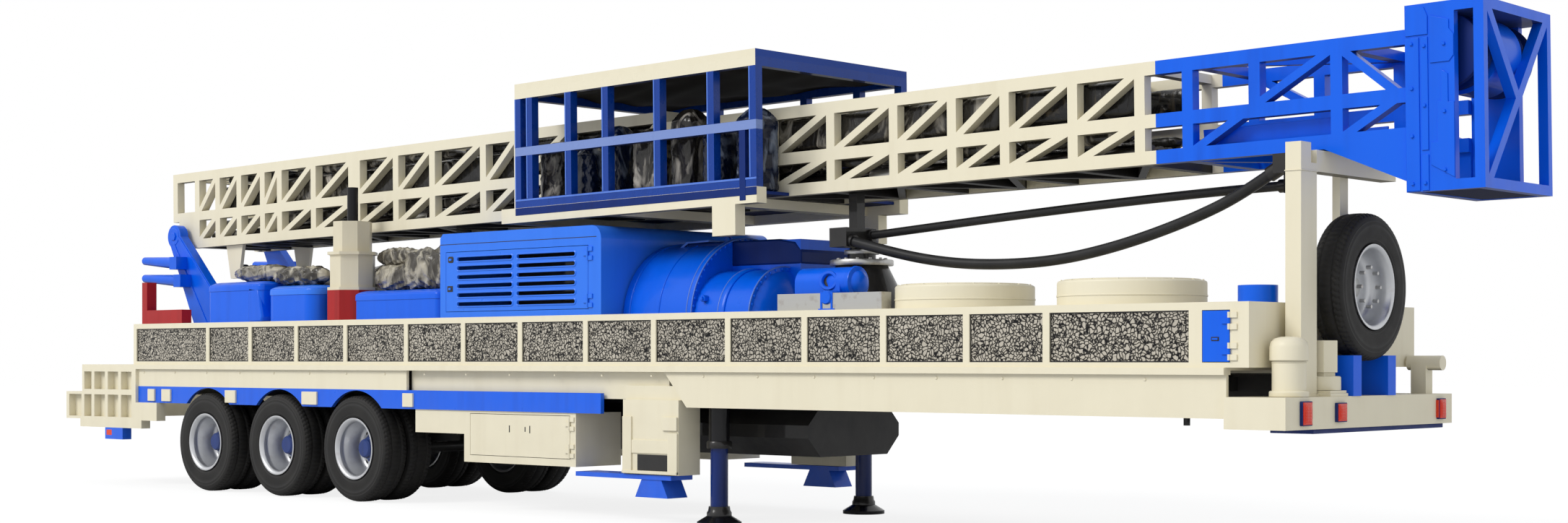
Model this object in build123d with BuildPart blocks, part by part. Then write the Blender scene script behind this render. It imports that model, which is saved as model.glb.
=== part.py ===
# Water well drilling rig on a three-axle semi-trailer, standing on its landing legs with the mast laid down.
# Millimetres, +Z up, ground at Z 0, +X to the front, X 0 at the middle of the overall length.
import os
from math import atan2, cos, degrees, hypot, radians, sin, tan

from build123d import *

os.makedirs("parts", exist_ok=True)

# Overall sizes
LENGTH = 16820
WIDTH = 2500
TAIL_X = -LENGTH / 2
CROWN_END_X = LENGTH / 2
HALF_WIDTH = WIDTH / 2
SIDES = {"near": -1, "far": 1}

# Levels
DECK_Z = 1800
BODY_BASE_Z = 1350
LIP_DEPTH = 50
LIP_BASE_Z = BODY_BASE_Z - LIP_DEPTH
SKIRT_BASE_Z = 1110
RAIL_BASE_Z = 930

# Main beams, an H section each
MAIN_BEAM_Y = 490
MAIN_BEAM_BASE_Z = 1010
MAIN_BEAM_FLANGE = 140
MAIN_BEAM_WEB = 16
MAIN_BEAM_FLANGE_THICK = 20
MAIN_BEAM_FRONT_X = 6870
CROSS_RIB_WIDTH = 80
CROSS_RIB_DEPTH = 120
LEG_X = 1810
CROSS_RIB_X = (-7600, -6400, -4885, -3575, -2200, -900, 400, LEG_X, 3300, 4700, 6500)

# Platform with its edge lip and skirts
PLATFORM_REAR_X = -8060
PLATFORM_THICK = 20
LIP_WIDTH = 90
SKIRT_THICK = 30
SKIRT_Y = 1215
REAR_SKIRT_X = (-6920, -2120)
FRONT_EDGE_X = (1680, 6870)
FRONT_EDGE_BASE_Z = 1000
HAUNCH_REAR_X = 1410
RECESS_BEAM_X = (-2120, 1410)
RECESS_BEAM_Y = 1150
RECESS_BEAM_BASE_Z = 1060
ARCH_RAIL_FRONT_X = 620
ARCH_RAIL_THICK = 40

# Body box on the platform
BODY_X = (-7000, 7050)
BODY_FACE_Y = 1225
MULLION_WIDTH = 60
FRAME_THICK = 50
TOP_RAIL_DEPTH = 55
BOTTOM_RAIL_DEPTH = 35
PANEL_THICK = 25
PANEL_RECESS = 15
MULLION_X = (-5530, -4740, -3920, -3090, -2120, -1260, -450, 430, 1290, 2170, 3020, 3840, 4650, 5380, 6610)
REAR_MULLION_Y = (-620, 0, 620)
DECK_THICK = 20
ACCESS_DOOR_X = (6690, 6900)

# Side cabinets below the platform
CABINET_X = (-1270, 280)
CABINET_Y = (650, 1200)
CABINET_BASE_Z = 450
CABINET_WALL = 25
CABINET_STEP_X = -2000
CABINET_STEP_Y = 750
CABINET_STEP_BASE_Z = 710
CABINET_DOOR_X = (-1180, 200)
CABINET_DOOR_Z = (520, 900)

# Doors and hinges
DOOR_GAP = 5
DOOR_THICK = 20
HINGE_RADIUS = 10
HINGE_STAND = 12
HINGE_LEAF = 60
KNUCKLE_LENGTH = 40
KNUCKLE_GAP = 0.3
HINGE_INSET = 10

# Outrigger jacks
JACK_X = (910, 1590)
JACK_Y = (960, 1220)
JACK_Z = (420, RECESS_BEAM_BASE_Z)
JACK_FACE_TOP_Z = 1180
JACK_WALL = 30
JACK_TUBE = 160
JACK_TUBE_HEIGHT = 600
JACK_PLATE_X = (300, 1500)
JACK_PLATE_THICK = 40
JACK_PLATE_GAP = 5
JACK_FOOT_TOP = 240
JACK_FOOT_BASE = 400
JACK_FOOT_BASE_Z = 220
GUIDE_GAP = 0.3

# Landing legs
LEG_Y = 950
LEG_UPPER_RADIUS = 90
LEG_LOWER_RADIUS = 75
LEG_LOWER_TOP_Z = 660
LEG_FOOT_RADIUS = 190
LEG_FOOT_HEIGHT = 90

# Underslung tank
TANK_X = (-290, 2510)
TANK_HALF_WIDTH = 600
TANK_BASE_Z = 580
TANK_CORNER = 160

# Wheels and axles
AXLE_X = (-5540, -4230, -2920)
TYRE_RADIUS = 525
TYRE_WIDTH = 280
TYRE_BORE = 290
TYRE_SHOULDER = 40
TWIN_GAP = 30
RIM_THICK = 20
RIM_LIP = 15
RIM_FIT = 0.3
HUB_RADIUS = 110
HUB_NOSE_Y = 1130
HUB_REACH = 20
HUB_FLARE = 30
HUB_FLARE_LENGTH = 80
HUB_TAPER = 20
HUB_NOSE_BEVEL = 30
HUB_CAP_THICK = 35
SPINDLE_RADIUS = 40
SPINDLE_SHORT = 40
AXLE_GAP = 20
AXLE_RADIUS = 63
SPRING_SEAT = 75
SPRING_THICK = 60
SPRING_WIDTH = 100
HANGER_LENGTH = 160
ARCH_GAP = 50

# Kingpin
KINGPIN_X = 5810
KINGPIN_RADIUS = 25.4
KINGPIN_LENGTH = 84
KINGPIN_PLATE = 1000
KINGPIN_PLATE_THICK = 20

# Tail frame and front bumper
TAIL_BASE_Z = 730
TAIL_TOP_Z = 1040
TAIL_FRONT_X = -6490
TAIL_WALL = 30
TAIL_DEPTH = 110
TAIL_POST_X = (-8045, -7825, -7535, -7255, -6975)
TAIL_POST = 60
TAIL_LOW_X = (-8100, -6800)
TAIL_LOW_Z = 640
LAMP_BOX_X = (-7560, -7190)
BUMPER_X = (6870, 7340)
BUMPER_Z = (930, 1150)
BUMPER_WALL = 25
FRONT_LAMP_Y = (-990, -500, 1050)
LAMP_SIZE = 130
LAMP_DEPTH = 20
REAR_LAMP_INSET = 26

# Mast
PIVOT_X = -7070
PIVOT_Z = 2800
MAST_TILT = 0.787
MAST_HALF_WIDTH = 520
MAST_MEMBER = 90
MAST_CHORD = 100
MAST_BASE = -132
LOWER_DEPTH = 860
UPPER_DEPTH = 760
MID_CHORD_SHARE = 0.42
MAST_REAR = -250
LOW_CHORD_REAR = 120
SECTION_JOINT = 7800
HEAD_START = 12940
CROWN_START = 14920
BRACE = 60
WIDE_POST = 200
LOWER_POSTS = (240, 650, 1070, 1520, 1840, 2460, 3180, 3880, 4470, 5260, 5770, 6500, 7200)
UPPER_POSTS = (7900, 8500, 9050, 9760, 10440, 11040, 11560, 12200, 12800)
HEAD_POSTS = (13210, 14400)
SHORT_HEAD_POST = 13760
HEAD_CROSS = 13890
CROSS_DEPTH = 70
BOSS_RADIUS = 130
PIN_RADIUS = 45
PIN_FIT = 0.5

# Crown at the mast's top end
CROWN_HALF_WIDTH = 540
CROWN_HEIGHT = (-475, 785)
CROWN_PLATE_LENGTH = 350
CROWN_PLATE_THICK = 60
CROWN_BAR = 70
CROWN_SHEAVE_RADIUS = 270
CROWN_SHEAVE_AT = (15150, 470)
CROWN_SHEAVE_HALF_WIDTH = 180
CROWN_SHAFT_RADIUS = 45
WEDGE_START = 14300
WEDGE_BASE = -400

# Cage round the mast
CAGE_START = 6300
CAGE_END = 9360
CAGE_HALF_WIDTH = 1000
CAGE_BASE = -80
CAGE_TOP = 1010
CAGE_MID = 440
CAGE_BAR = 80
CAGE_POSTS = (6500, 7030, 7520, 8180, 8830)
CAGE_ROOF_THICK = 60
CAGE_BEAM_BASE = -215
CAGE_BEAM_START = 6100
CAGE_BEAM_WIDTH = 120
CAGE_CROSS_BEAMS = (6200, 7500, 8900)
CAGE_CROSS_WIDTH = 150
CAGE_LEG = (8840, 9110)
CAGE_LEG_BASE = -472

# Rotary head and drill pipes
HEAD_QUILL_RADIUS = 95
HEAD_QUILL_LENGTH = 220
HEAD_SPAN = (6900, 8200)
HEAD_HALF_WIDTH = 250
HEAD_HEIGHT = (150, 500)
SHOE_HEIGHT = (185, 231)
SHOE_LENGTH = 260
PIPE_RADIUS = 57
PIPE_SPAN = (300, 12700)
PIPE_PITCH = 125
PIPE_COUNT = 6

# Wrapped tools: long tubes in the mast, and cases in the cage, each as middle along the mast, length, height
SIDE_TUBE_RADIUS = 72
SIDE_TUBE_SPAN = (400, 12800)
SIDE_TUBE_HEIGHTS = (315, 475)
CASE_PLATE_SPAN = (6130, 9300)
CASE_PLATE_Y = (530, 875)
CASE_PLATE_THICK = 30
CASE_Y = (545, 865)
CASES = (
    (6600, 330, 640),
    (7010, 310, 560),
    (7400, 280, 720),
    (7840, 330, 660),
    (8310, 300, 790),
    (8690, 280, 620),
    (9100, 300, 730),
)

# Hoist cylinders
HOIST_Y = 360
HOIST_BASE = (-2990, 2020)
HOIST_EYE = (-6160, 2390)
BARREL_RADIUS = 90
BARREL_LENGTH = 2500
ROD_RADIUS = 50
ROD_FIT = 0.3
EYE_RADIUS = 80
EYE_HALF_WIDTH = 40
EYE_BORE = 35
EYE_SUNK = 15
HOIST_PIN_FIT = 0.5
EAR_GAP = 10
LUG_THICK = 40
BARREL_START = 200
ROD_START = 350
BORE_SPARE = 20

# Pivot tower at the tail
TOWER_Y = (570, 670)
TOWER_FOOT_X = (-6660, -5880)
TOWER_HEAD_RADIUS = 130
ARM_RADIUS = 70
ARM_TIP_RADIUS = 45
ARM_Y = 740
ARM_TIP_X = -7560
ARM_Z = (2490, 2290)
CROSS_TUBE_HEIGHT = 200

# Control post
POST_X = (-6900, -6800)
POST_Y = (-1180, -1060)
POST_TOP_Z = 2260
POST_BLOCK_FRONT_X = -6100
POST_BLOCK_HEIGHT = 150

# Lock columns
COLUMN_X = -3540
COLUMN_Y = 800
COLUMN_BASE_Z = 2110
COLUMN_BARREL_Z = 2470
COLUMN_CAP_Z = 2810
COLUMN_ROD_Z = 3160
COLUMN_BASE_WIDTH = 480
COLUMN_WIDTH = 430
COLUMN_CAP_WIDTH = 370
COLUMN_RING = 30
COLUMN_ROD_RADIUS = 55

# Engine canopy
CANOPY_X = (-1750, 500)
CANOPY_HALF_WIDTH = 1100
CANOPY_TOP_Z = 2600
CANOPY_WALL = 40
CANOPY_NOSE = 120
CANOPY_DOOR_X = (-1660, 330)
CANOPY_DOOR_Z = (1860, 2420)
LOUVRE_COLUMNS = 2
LOUVRE_ROWS = 6
LOUVRE_SIZE = (800, 45)
LOUVRE_PITCH_X = 860
LOUVRE_PITCH_Z = 85
ENGINE_X = (-1450, 150)
ENGINE_HALF_WIDTH = 420
ENGINE_TOP_Z = 2440
ENGINE_BEARER = 80

# Compressor, pump and what stands on the deck
DRUM_X = (520, 1400)
DRUM_Y = -150
DRUM_Z = 1750
DRUM_RADIUS = 700
DRUM_FLANGE = 60
GEAR_X = (1400, 2050)
GEAR_Y = -420
GEAR_RADIUS = 430
COWL_X = (830, 2200)
COWL_Y = (-350, 550)
COWL_Z = (2235, 2440)
PUMP_X = 2760
PUMP_Y = -200
PUMP_PROFILE = (
    (0, 0),
    (400, 0),
    (380, 80),
    (220, 400),
    (260, 400),
    (260, 440),
    (120, 440),
    (120, 530),
    (0, 530),
)
PUMP_GEAR_X = (2610, 3100)
PUMP_GEAR_Y = (-880, -620)
PUMP_GEAR_Z = 2030
PUMP_GEAR_NOSE = 60
STEEL_BEAM_X = (2580, 3690)
STEEL_BEAM_Y = (-1060, -940)
STEEL_BEAM_TOP_Z = 1940
COOLER_X = (4160, 5710)
COOLER_Y = -600
COOLER_RADIUS = 550
COOLER_HEIGHT = 185
COOLER_EDGE = 20
CAP_X = 6760
CAP_Y = -600
CAP_RADIUS = 140
CAP_HEIGHT = 130

# Covers on the rear deck, each as X span, Y span from the middle, top height and corner radius
DECK_COVERS = (
    ((-5750, -4750), (520, 1080), 2200, 60),
    ((-4680, -3830), (560, 1080), 2140, 150),
    ((-3250, -1900), (560, 1000), 2060, 60),
)

# Spare wheel, mast rest and front fittings
SPARE_X = (7110, 7350)
SPARE_Z = 1920
SPARE_DISC_X = 7150
SPARE_BOSS_RADIUS = 100
REST_X = (7110, 7230)
REST_Y = (-840, -620)
REST_TOP_Z = 2900
REST_NOTCH = (50, 80, 140)
REST_BEAM_END_Y = 560
REST_BEAM_DEPTH = 150
REST_BEAM_GAP = 8
CENTRE_POST_HALF_WIDTH = 60
CRADLE_Y = (200, 320)
FITTING_X = 7210
CANISTER_Y = -970
CANISTER_RADIUS = 115
CANISTER_HEIGHT = 400
HEX_POST_Y = -490
HEX_POST_RADIUS = 90
HEX_POST_HEIGHT = 380
HEX_BASE = 230
HEX_BASE_THICK = 40
PIPE_END_Y = 1100
PIPE_END_Z = 1380
PIPE_END_RADIUS = 55
PIPE_END_TAIL = 40

# Hoses under the mast: points by hand, diameters, and the fittings at their ends
MAIN_HOSE_DIAMETER = 85
MAIN_HOSE_POINTS = (
    (2890, -450, 2385),
    (3230, -455, 2300),
    (3640, -450, 2215),
    (4040, -440, 2165),
    (4500, -435, 2150),
    (4950, -440, 2170),
    (5380, -450, 2235),
    (5790, -455, 2330),
    (6190, -455, 2450),
    (6520, -450, 2580),
    (6770, -450, 2720),
)
SECOND_HOSE_DIAMETER = 70
SECOND_HOSE_POINTS = (
    (2890, -200, 2450),
    (3510, -196, 2493),
    (4310, -200, 2546),
    (5110, -206, 2592),
    (5810, -200, 2627),
    (6360, -194, 2649),
    (6710, -196, 2656),
)
ARC_SHARE = 0.45
FERRULE_WALL = 14
MANIFOLD = ((9740, 9925), (-520, -130), (-590, -430))
MANIFOLD_RISER = ((9770, 9860), (-300, -200), (-430, MAST_BASE))
MAIN_HOSE_BRACKET = ((13900, 14000), (-520, -390), (-270, MAST_BASE))
SECOND_HOSE_BRACKET = ((13840, 13940), (-260, -140), (-390, MAST_BASE))
FERRULE_LENGTH = 110


def block(x, y, z, mode=Mode.ADD):
    """Adds a box between two X, two Y and two Z values."""
    spans = (x, y, z)
    with Locations(tuple((low + high) / 2 for low, high in spans)):
        Box(*(abs(high - low) for low, high in spans), mode=mode)


def single_block(x, y, z):
    """Gives a box between two X, two Y and two Z values as a solid of its own."""
    with BuildPart() as single:
        block(x, y, z)
    return single.part


def export_touching(name, pieces):
    """Writes the pieces of one node as separate solids that only touch."""
    whole = Compound([solid for piece in pieces for solid in piece.solids()])
    whole.label = name
    export_step(whole, f"parts/{name}.step")


def side_plate(outline, y, plane=Plane.XZ, mode=Mode.ADD):
    """Adds an outline drawn from the side, carried from one Y to another."""
    with BuildSketch(plane.offset(-y[0])) as profile:
        Polygon(*outline, align=None)
    extrude(profile.sketch, amount=y[0] - y[1], mode=mode)


def side_block(u, y, v, plane, mode=Mode.ADD):
    """Adds a box between two values along, across and up a tilted side plane."""
    side_plate([(u[0], v[0]), (u[1], v[0]), (u[1], v[1]), (u[0], v[1])], y, plane, mode)


def round_bar(start, end, radius, end_radius=None, mode=Mode.ADD):
    """Adds a round bar between two points, tapered where the end has its own radius."""
    path = Vector(*end) - Vector(*start)
    with BuildSketch(Plane(origin=start, z_dir=path)) as first:
        Circle(radius)
    if end_radius is None:
        extrude(first.sketch, amount=path.length, mode=mode)
        return
    with BuildSketch(Plane(origin=end, z_dir=path)) as last:
        Circle(end_radius)
    loft([first.sketch, last.sketch], mode=mode)


def truss_bar(start, end, thickness):
    """Adds one straight member to a frame's sketch."""
    run = end[0] - start[0]
    rise = end[1] - start[1]
    with Locations(((start[0] + end[0]) / 2, (start[1] + end[1]) / 2)):
        Rectangle(hypot(run, rise), thickness, rotation=degrees(atan2(rise, run)))


def hinge_knuckle(x, side, face, z, reach):
    """Adds a knuckle outside a side face, with a strap from it that lies on the face."""
    pin_y = side * (face + HINGE_STAND)
    round_bar((x, pin_y, z[0]), (x, pin_y, z[1]), HINGE_RADIUS)
    block((x, x + reach), (side * face, pin_y), z)


def knuckle_heights(z):
    """Gives the middle height of each of a door's two hinges."""
    inset = 1.5 * KNUCKLE_LENGTH + HINGE_INSET
    return (z[0] + inset, z[1] - inset)


def door_knuckles(x, side, face, z):
    """Adds the door's own knuckle at each hinge."""
    for height in knuckle_heights(z):
        span = (height - KNUCKLE_LENGTH / 2, height + KNUCKLE_LENGTH / 2)
        hinge_knuckle(x, side, face, span, -HINGE_LEAF)


def frame_knuckles(x, side, face, z):
    """Adds the two knuckles of the frame above and below each door knuckle."""
    inner = KNUCKLE_LENGTH / 2 + KNUCKLE_GAP
    outer = 1.5 * KNUCKLE_LENGTH
    for height in knuckle_heights(z):
        hinge_knuckle(x, side, face, (height + inner, height + outer), HINGE_LEAF)
        hinge_knuckle(x, side, face, (height - outer, height - inner), HINGE_LEAF)


# Main beams of web and flanges, cross ribs between and beside the webs, and the kingpin under its plate
beam_x = (PLATFORM_REAR_X + TAIL_WALL, MAIN_BEAM_FRONT_X)
web_z = (MAIN_BEAM_BASE_Z + MAIN_BEAM_FLANGE_THICK, LIP_BASE_Z - MAIN_BEAM_FLANGE_THICK)
web_y = (MAIN_BEAM_Y - MAIN_BEAM_WEB / 2, MAIN_BEAM_Y + MAIN_BEAM_WEB / 2)
flange_y = (MAIN_BEAM_Y - MAIN_BEAM_FLANGE / 2, MAIN_BEAM_Y + MAIN_BEAM_FLANGE / 2)
rib_reach = RECESS_BEAM_Y - SKIRT_THICK
rib_z = (LIP_BASE_Z - CROSS_RIB_DEPTH, web_z[1])
chassis_pieces = []
for side in SIDES.values():
    chassis_pieces.append(single_block(beam_x, (side * web_y[0], side * web_y[1]), web_z))
    for flange_z in ((MAIN_BEAM_BASE_Z, web_z[0]), (web_z[1], LIP_BASE_Z)):
        chassis_pieces.append(single_block(beam_x, (side * flange_y[0], side * flange_y[1]), flange_z))
for x in CROSS_RIB_X:
    rib_x = (x - CROSS_RIB_WIDTH / 2, x + CROSS_RIB_WIDTH / 2)
    for rib_y in ((-web_y[0], web_y[0]), (web_y[1], rib_reach), (-rib_reach, -web_y[1])):
        chassis_pieces.append(single_block(rib_x, rib_y, rib_z))
plate_x = (KINGPIN_X - KINGPIN_PLATE / 2, KINGPIN_X + KINGPIN_PLATE / 2)
plate_y = (-KINGPIN_PLATE / 2 - MAIN_BEAM_FLANGE, KINGPIN_PLATE / 2 + MAIN_BEAM_FLANGE)
plate_base = MAIN_BEAM_BASE_Z - KINGPIN_PLATE_THICK
chassis_pieces.append(single_block(plate_x, plate_y, (plate_base, MAIN_BEAM_BASE_Z)))
with BuildPart() as kingpin:
    round_bar((KINGPIN_X, 0, plate_base), (KINGPIN_X, 0, plate_base - KINGPIN_LENGTH), KINGPIN_RADIUS)
export_touching("chassis_frame", [*chassis_pieces, kingpin.part])

# Platform plate between its edge lips, skirts, recessed beams and front edge beams
platform_x = (PLATFORM_REAR_X, MAIN_BEAM_FRONT_X)
plate_edge = HALF_WIDTH - LIP_WIDTH
plate_z = (BODY_BASE_Z - PLATFORM_THICK, BODY_BASE_Z)
platform_pieces = [single_block(platform_x, (-plate_edge, plate_edge), plate_z)]
for side in SIDES.values():
    skirt_y = (side * (SKIRT_Y - SKIRT_THICK), side * SKIRT_Y)
    recess_y = (side * (RECESS_BEAM_Y - SKIRT_THICK), side * RECESS_BEAM_Y)
    lip_y = (side * plate_edge, side * HALF_WIDTH)
    platform_pieces.append(single_block(platform_x, lip_y, (LIP_BASE_Z, BODY_BASE_Z)))
    platform_pieces.append(single_block(REAR_SKIRT_X, skirt_y, (SKIRT_BASE_Z, LIP_BASE_Z)))
    platform_pieces.append(single_block(RECESS_BEAM_X, recess_y, (RECESS_BEAM_BASE_Z, plate_z[0])))
    front_edge = [
        (HAUNCH_REAR_X, LIP_BASE_Z),
        (FRONT_EDGE_X[0], FRONT_EDGE_BASE_Z),
        (FRONT_EDGE_X[1], FRONT_EDGE_BASE_Z),
        (FRONT_EDGE_X[1], LIP_BASE_Z),
    ]
    with BuildPart() as edge_beam:
        side_plate(front_edge, sorted(skirt_y))
    platform_pieces.append(edge_beam.part)
export_touching("platform", platform_pieces)

# Blue rail over the wheels, cut away round each tyre
with BuildPart() as wheel_arch_rail:
    rail_y = (SKIRT_Y - ARCH_RAIL_THICK, SKIRT_Y)
    block((REAR_SKIRT_X[0], ARCH_RAIL_FRONT_X), rail_y, (RAIL_BASE_Z, SKIRT_BASE_Z))
    for x in AXLE_X:
        start = (x, rail_y[0], TYRE_RADIUS)
        end = (x, rail_y[1], TYRE_RADIUS)
        round_bar(start, end, TYRE_RADIUS + ARCH_GAP, mode=Mode.SUBTRACT)
    mirror(about=Plane.XZ)
wheel_arch_rail.part.label = "wheel_arch_rail"
export_step(wheel_arch_rail.part, "parts/wheel_arch_rail.step")

# Body frame: a frame for each side and the rear, the closed front wall, and the deck on its joists
inner_y = BODY_FACE_Y - FRAME_THICK
rails = ((BODY_BASE_Z, BODY_BASE_Z + BOTTOM_RAIL_DEPTH), (DECK_Z - TOP_RAIL_DEPTH, DECK_Z))
inside_x = (BODY_X[0] + MULLION_WIDTH, BODY_X[1] - MULLION_WIDTH)
inside_y = (-BODY_FACE_Y + MULLION_WIDTH, BODY_FACE_Y - MULLION_WIDTH)
wall_z = (rails[0][1], rails[1][0])
corner_x = (BODY_X[0] + MULLION_WIDTH / 2, BODY_X[1] - MULLION_WIDTH / 2)
jambs = (
    (MULLION_X[-1] + MULLION_WIDTH / 2, ACCESS_DOOR_X[0] - DOOR_GAP),
    (ACCESS_DOOR_X[1] + DOOR_GAP, corner_x[1] - MULLION_WIDTH / 2),
)
door_z = (wall_z[0] + DOOR_GAP, wall_z[1] - DOOR_GAP)
body_pieces = []
for side in SIDES.values():
    post_y = (side * inner_y, side * BODY_FACE_Y)
    for rail_z in rails:
        body_pieces.append(single_block(BODY_X, (side * inside_y[1], side * BODY_FACE_Y), rail_z))
    for x in (corner_x[0], *MULLION_X, corner_x[1]):
        body_pieces.append(single_block((x - MULLION_WIDTH / 2, x + MULLION_WIDTH / 2), post_y, wall_z))
    body_pieces.append(single_block(jambs[0], post_y, wall_z))
    with BuildPart() as hinge_jamb:
        block(jambs[1], post_y, wall_z)
        frame_knuckles(ACCESS_DOOR_X[1] + DOOR_GAP / 2, side, BODY_FACE_Y, door_z)
    body_pieces.append(hinge_jamb.part)
for rail_z in rails:
    body_pieces.append(single_block((BODY_X[0], inside_x[0]), inside_y, rail_z))
    body_pieces.append(single_block((inside_x[1], BODY_X[1]), inside_y, rail_z))
for y in REAR_MULLION_Y:
    mullion_y = (y - MULLION_WIDTH / 2, y + MULLION_WIDTH / 2)
    body_pieces.append(single_block((BODY_X[0], BODY_X[0] + FRAME_THICK), mullion_y, wall_z))
body_pieces.append(single_block((BODY_X[1] - PANEL_THICK, BODY_X[1]), (-inner_y, inner_y), wall_z))
body_pieces.append(single_block(inside_x, inside_y, (DECK_Z - DECK_THICK, DECK_Z)))
for x in MULLION_X[::2]:
    joist_x = (x - MULLION_WIDTH / 2, x + MULLION_WIDTH / 2)
    joist_z = (DECK_Z - DECK_THICK - TOP_RAIL_DEPTH, DECK_Z - DECK_THICK)
    body_pieces.append(single_block(joist_x, inside_y, joist_z))
export_touching("body_frame", body_pieces)

# Panels between the mullions on both sides and across the rear
with BuildPart() as side_panels:
    panel_z = (rails[0][1], rails[1][0])
    panel_y = (BODY_FACE_Y - PANEL_RECESS - PANEL_THICK, BODY_FACE_Y - PANEL_RECESS)
    posts = (corner_x[0], *MULLION_X)
    for first, last in zip(posts, posts[1:]):
        for side in SIDES.values():
            panel_x = (first + MULLION_WIDTH / 2, last - MULLION_WIDTH / 2)
            block(panel_x, (side * panel_y[0], side * panel_y[1]), panel_z)
    rear_posts = (-BODY_FACE_Y + MULLION_WIDTH / 2, *REAR_MULLION_Y, BODY_FACE_Y - MULLION_WIDTH / 2)
    rear_x = (BODY_X[0] + PANEL_RECESS, BODY_X[0] + PANEL_RECESS + PANEL_THICK)
    for first, last in zip(rear_posts, rear_posts[1:]):
        block(rear_x, (first + MULLION_WIDTH / 2, last - MULLION_WIDTH / 2), panel_z)
side_panels.part.label = "side_panels"
export_step(side_panels.part, "parts/side_panels.step")

# Access doors in the body sides
for name, side in SIDES.items():
    with BuildPart() as access_door:
        door_y = (side * (BODY_FACE_Y - DOOR_THICK), side * BODY_FACE_Y)
        block(ACCESS_DOOR_X, door_y, door_z)
        door_knuckles(ACCESS_DOOR_X[1] + DOOR_GAP / 2, side, BODY_FACE_Y, door_z)
    access_door.part.label = f"access_door_{name}"
    export_step(access_door.part, f"parts/access_door_{name}.step")

# Side cabinets, hollow, with a door opening in the outer wall
with BuildPart() as cabinets:
    cabinet_z = (CABINET_BASE_Z, RAIL_BASE_Z)
    for side in SIDES.values():
        block(CABINET_X, (side * CABINET_Y[0], side * CABINET_Y[1]), cabinet_z)
        step_y = (side * CABINET_STEP_Y, side * CABINET_Y[1])
        block((CABINET_STEP_X, CABINET_X[0]), step_y, (CABINET_STEP_BASE_Z, RAIL_BASE_Z))
        hollow_x = (CABINET_X[0] + CABINET_WALL, CABINET_X[1] - CABINET_WALL)
        hollow_y = (side * (CABINET_Y[0] + CABINET_WALL), side * (CABINET_Y[1] - CABINET_WALL))
        hollow_z = (cabinet_z[0] + CABINET_WALL, cabinet_z[1] - CABINET_WALL)
        block(hollow_x, hollow_y, hollow_z, mode=Mode.SUBTRACT)
        opening_x = (CABINET_DOOR_X[0] - DOOR_GAP, CABINET_DOOR_X[1] + DOOR_GAP)
        opening_z = (CABINET_DOOR_Z[0] - DOOR_GAP, CABINET_DOOR_Z[1] + DOOR_GAP)
        opening_y = (side * (CABINET_Y[1] - CABINET_WALL), side * CABINET_Y[1])
        block(opening_x, opening_y, opening_z, mode=Mode.SUBTRACT)
        frame_knuckles(CABINET_DOOR_X[1] + DOOR_GAP / 2, side, CABINET_Y[1], CABINET_DOOR_Z)
cabinets.part.label = "cabinets"
export_step(cabinets.part, "parts/cabinets.step")

for name, side in SIDES.items():
    with BuildPart() as cabinet_door:
        door_y = (side * (CABINET_Y[1] - DOOR_THICK), side * CABINET_Y[1])
        block(CABINET_DOOR_X, door_y, CABINET_DOOR_Z)
        door_knuckles(CABINET_DOOR_X[1] + DOOR_GAP / 2, side, CABINET_Y[1], CABINET_DOOR_Z)
    cabinet_door.part.label = f"cabinet_door_{name}"
    export_step(cabinet_door.part, f"parts/cabinet_door_{name}.step")

# Outrigger jack housings, open below for the leg
with BuildPart() as jack_housings:
    jack_middle = ((JACK_X[0] + JACK_X[1]) / 2, (JACK_Y[0] + JACK_Y[1]) / 2)
    for side in SIDES.values():
        block(JACK_X, (side * JACK_Y[0], side * JACK_Y[1]), JACK_Z)
        face_y = (side * RECESS_BEAM_Y, side * (SKIRT_Y - SKIRT_THICK))
        block(JACK_X, face_y, (JACK_Z[1], JACK_FACE_TOP_Z))
        hollow_x = (JACK_X[0] + JACK_WALL, JACK_X[1] - JACK_WALL)
        hollow_y = (side * (JACK_Y[0] + JACK_WALL), side * (JACK_Y[1] - JACK_WALL))
        block(hollow_x, hollow_y, (JACK_Z[0] + JACK_WALL, JACK_Z[1] - JACK_WALL), mode=Mode.SUBTRACT)
        half_hole = JACK_TUBE / 2 + GUIDE_GAP
        hole_x = (jack_middle[0] - half_hole, jack_middle[0] + half_hole)
        hole_y = (side * jack_middle[1] - half_hole, side * jack_middle[1] + half_hole)
        block(hole_x, hole_y, (JACK_Z[0], JACK_Z[0] + JACK_WALL), mode=Mode.SUBTRACT)
jack_housings.part.label = "jack_housings"
export_step(jack_housings.part, "parts/jack_housings.step")

# Outrigger legs: square tube, base plate and tapered foot
for name, side in SIDES.items():
    with BuildPart() as jack_leg:
        plate_top = JACK_Z[0] - JACK_PLATE_GAP
        plate_base = plate_top - JACK_PLATE_THICK
        middle_y = side * jack_middle[1]
        tube_x = (jack_middle[0] - JACK_TUBE / 2, jack_middle[0] + JACK_TUBE / 2)
        tube_y = (middle_y - JACK_TUBE / 2, middle_y + JACK_TUBE / 2)
        block(tube_x, tube_y, (plate_top, plate_top + JACK_TUBE_HEIGHT))
        block(JACK_PLATE_X, (side * JACK_Y[0], side * JACK_Y[1]), (plate_base, plate_top))
        with BuildSketch(Plane.XY.offset(plate_base)) as foot_top:
            with Locations((jack_middle[0], middle_y)):
                Rectangle(JACK_FOOT_TOP, JACK_FOOT_TOP)
        with BuildSketch(Plane.XY.offset(JACK_FOOT_BASE_Z)) as foot_base:
            with Locations((jack_middle[0], middle_y)):
                Rectangle(JACK_FOOT_BASE, JACK_FOOT_TOP)
        loft([foot_base.sketch, foot_top.sketch])
    jack_leg.part.label = f"jack_leg_{name}"
    export_step(jack_leg.part, f"parts/jack_leg_{name}.step")

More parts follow.
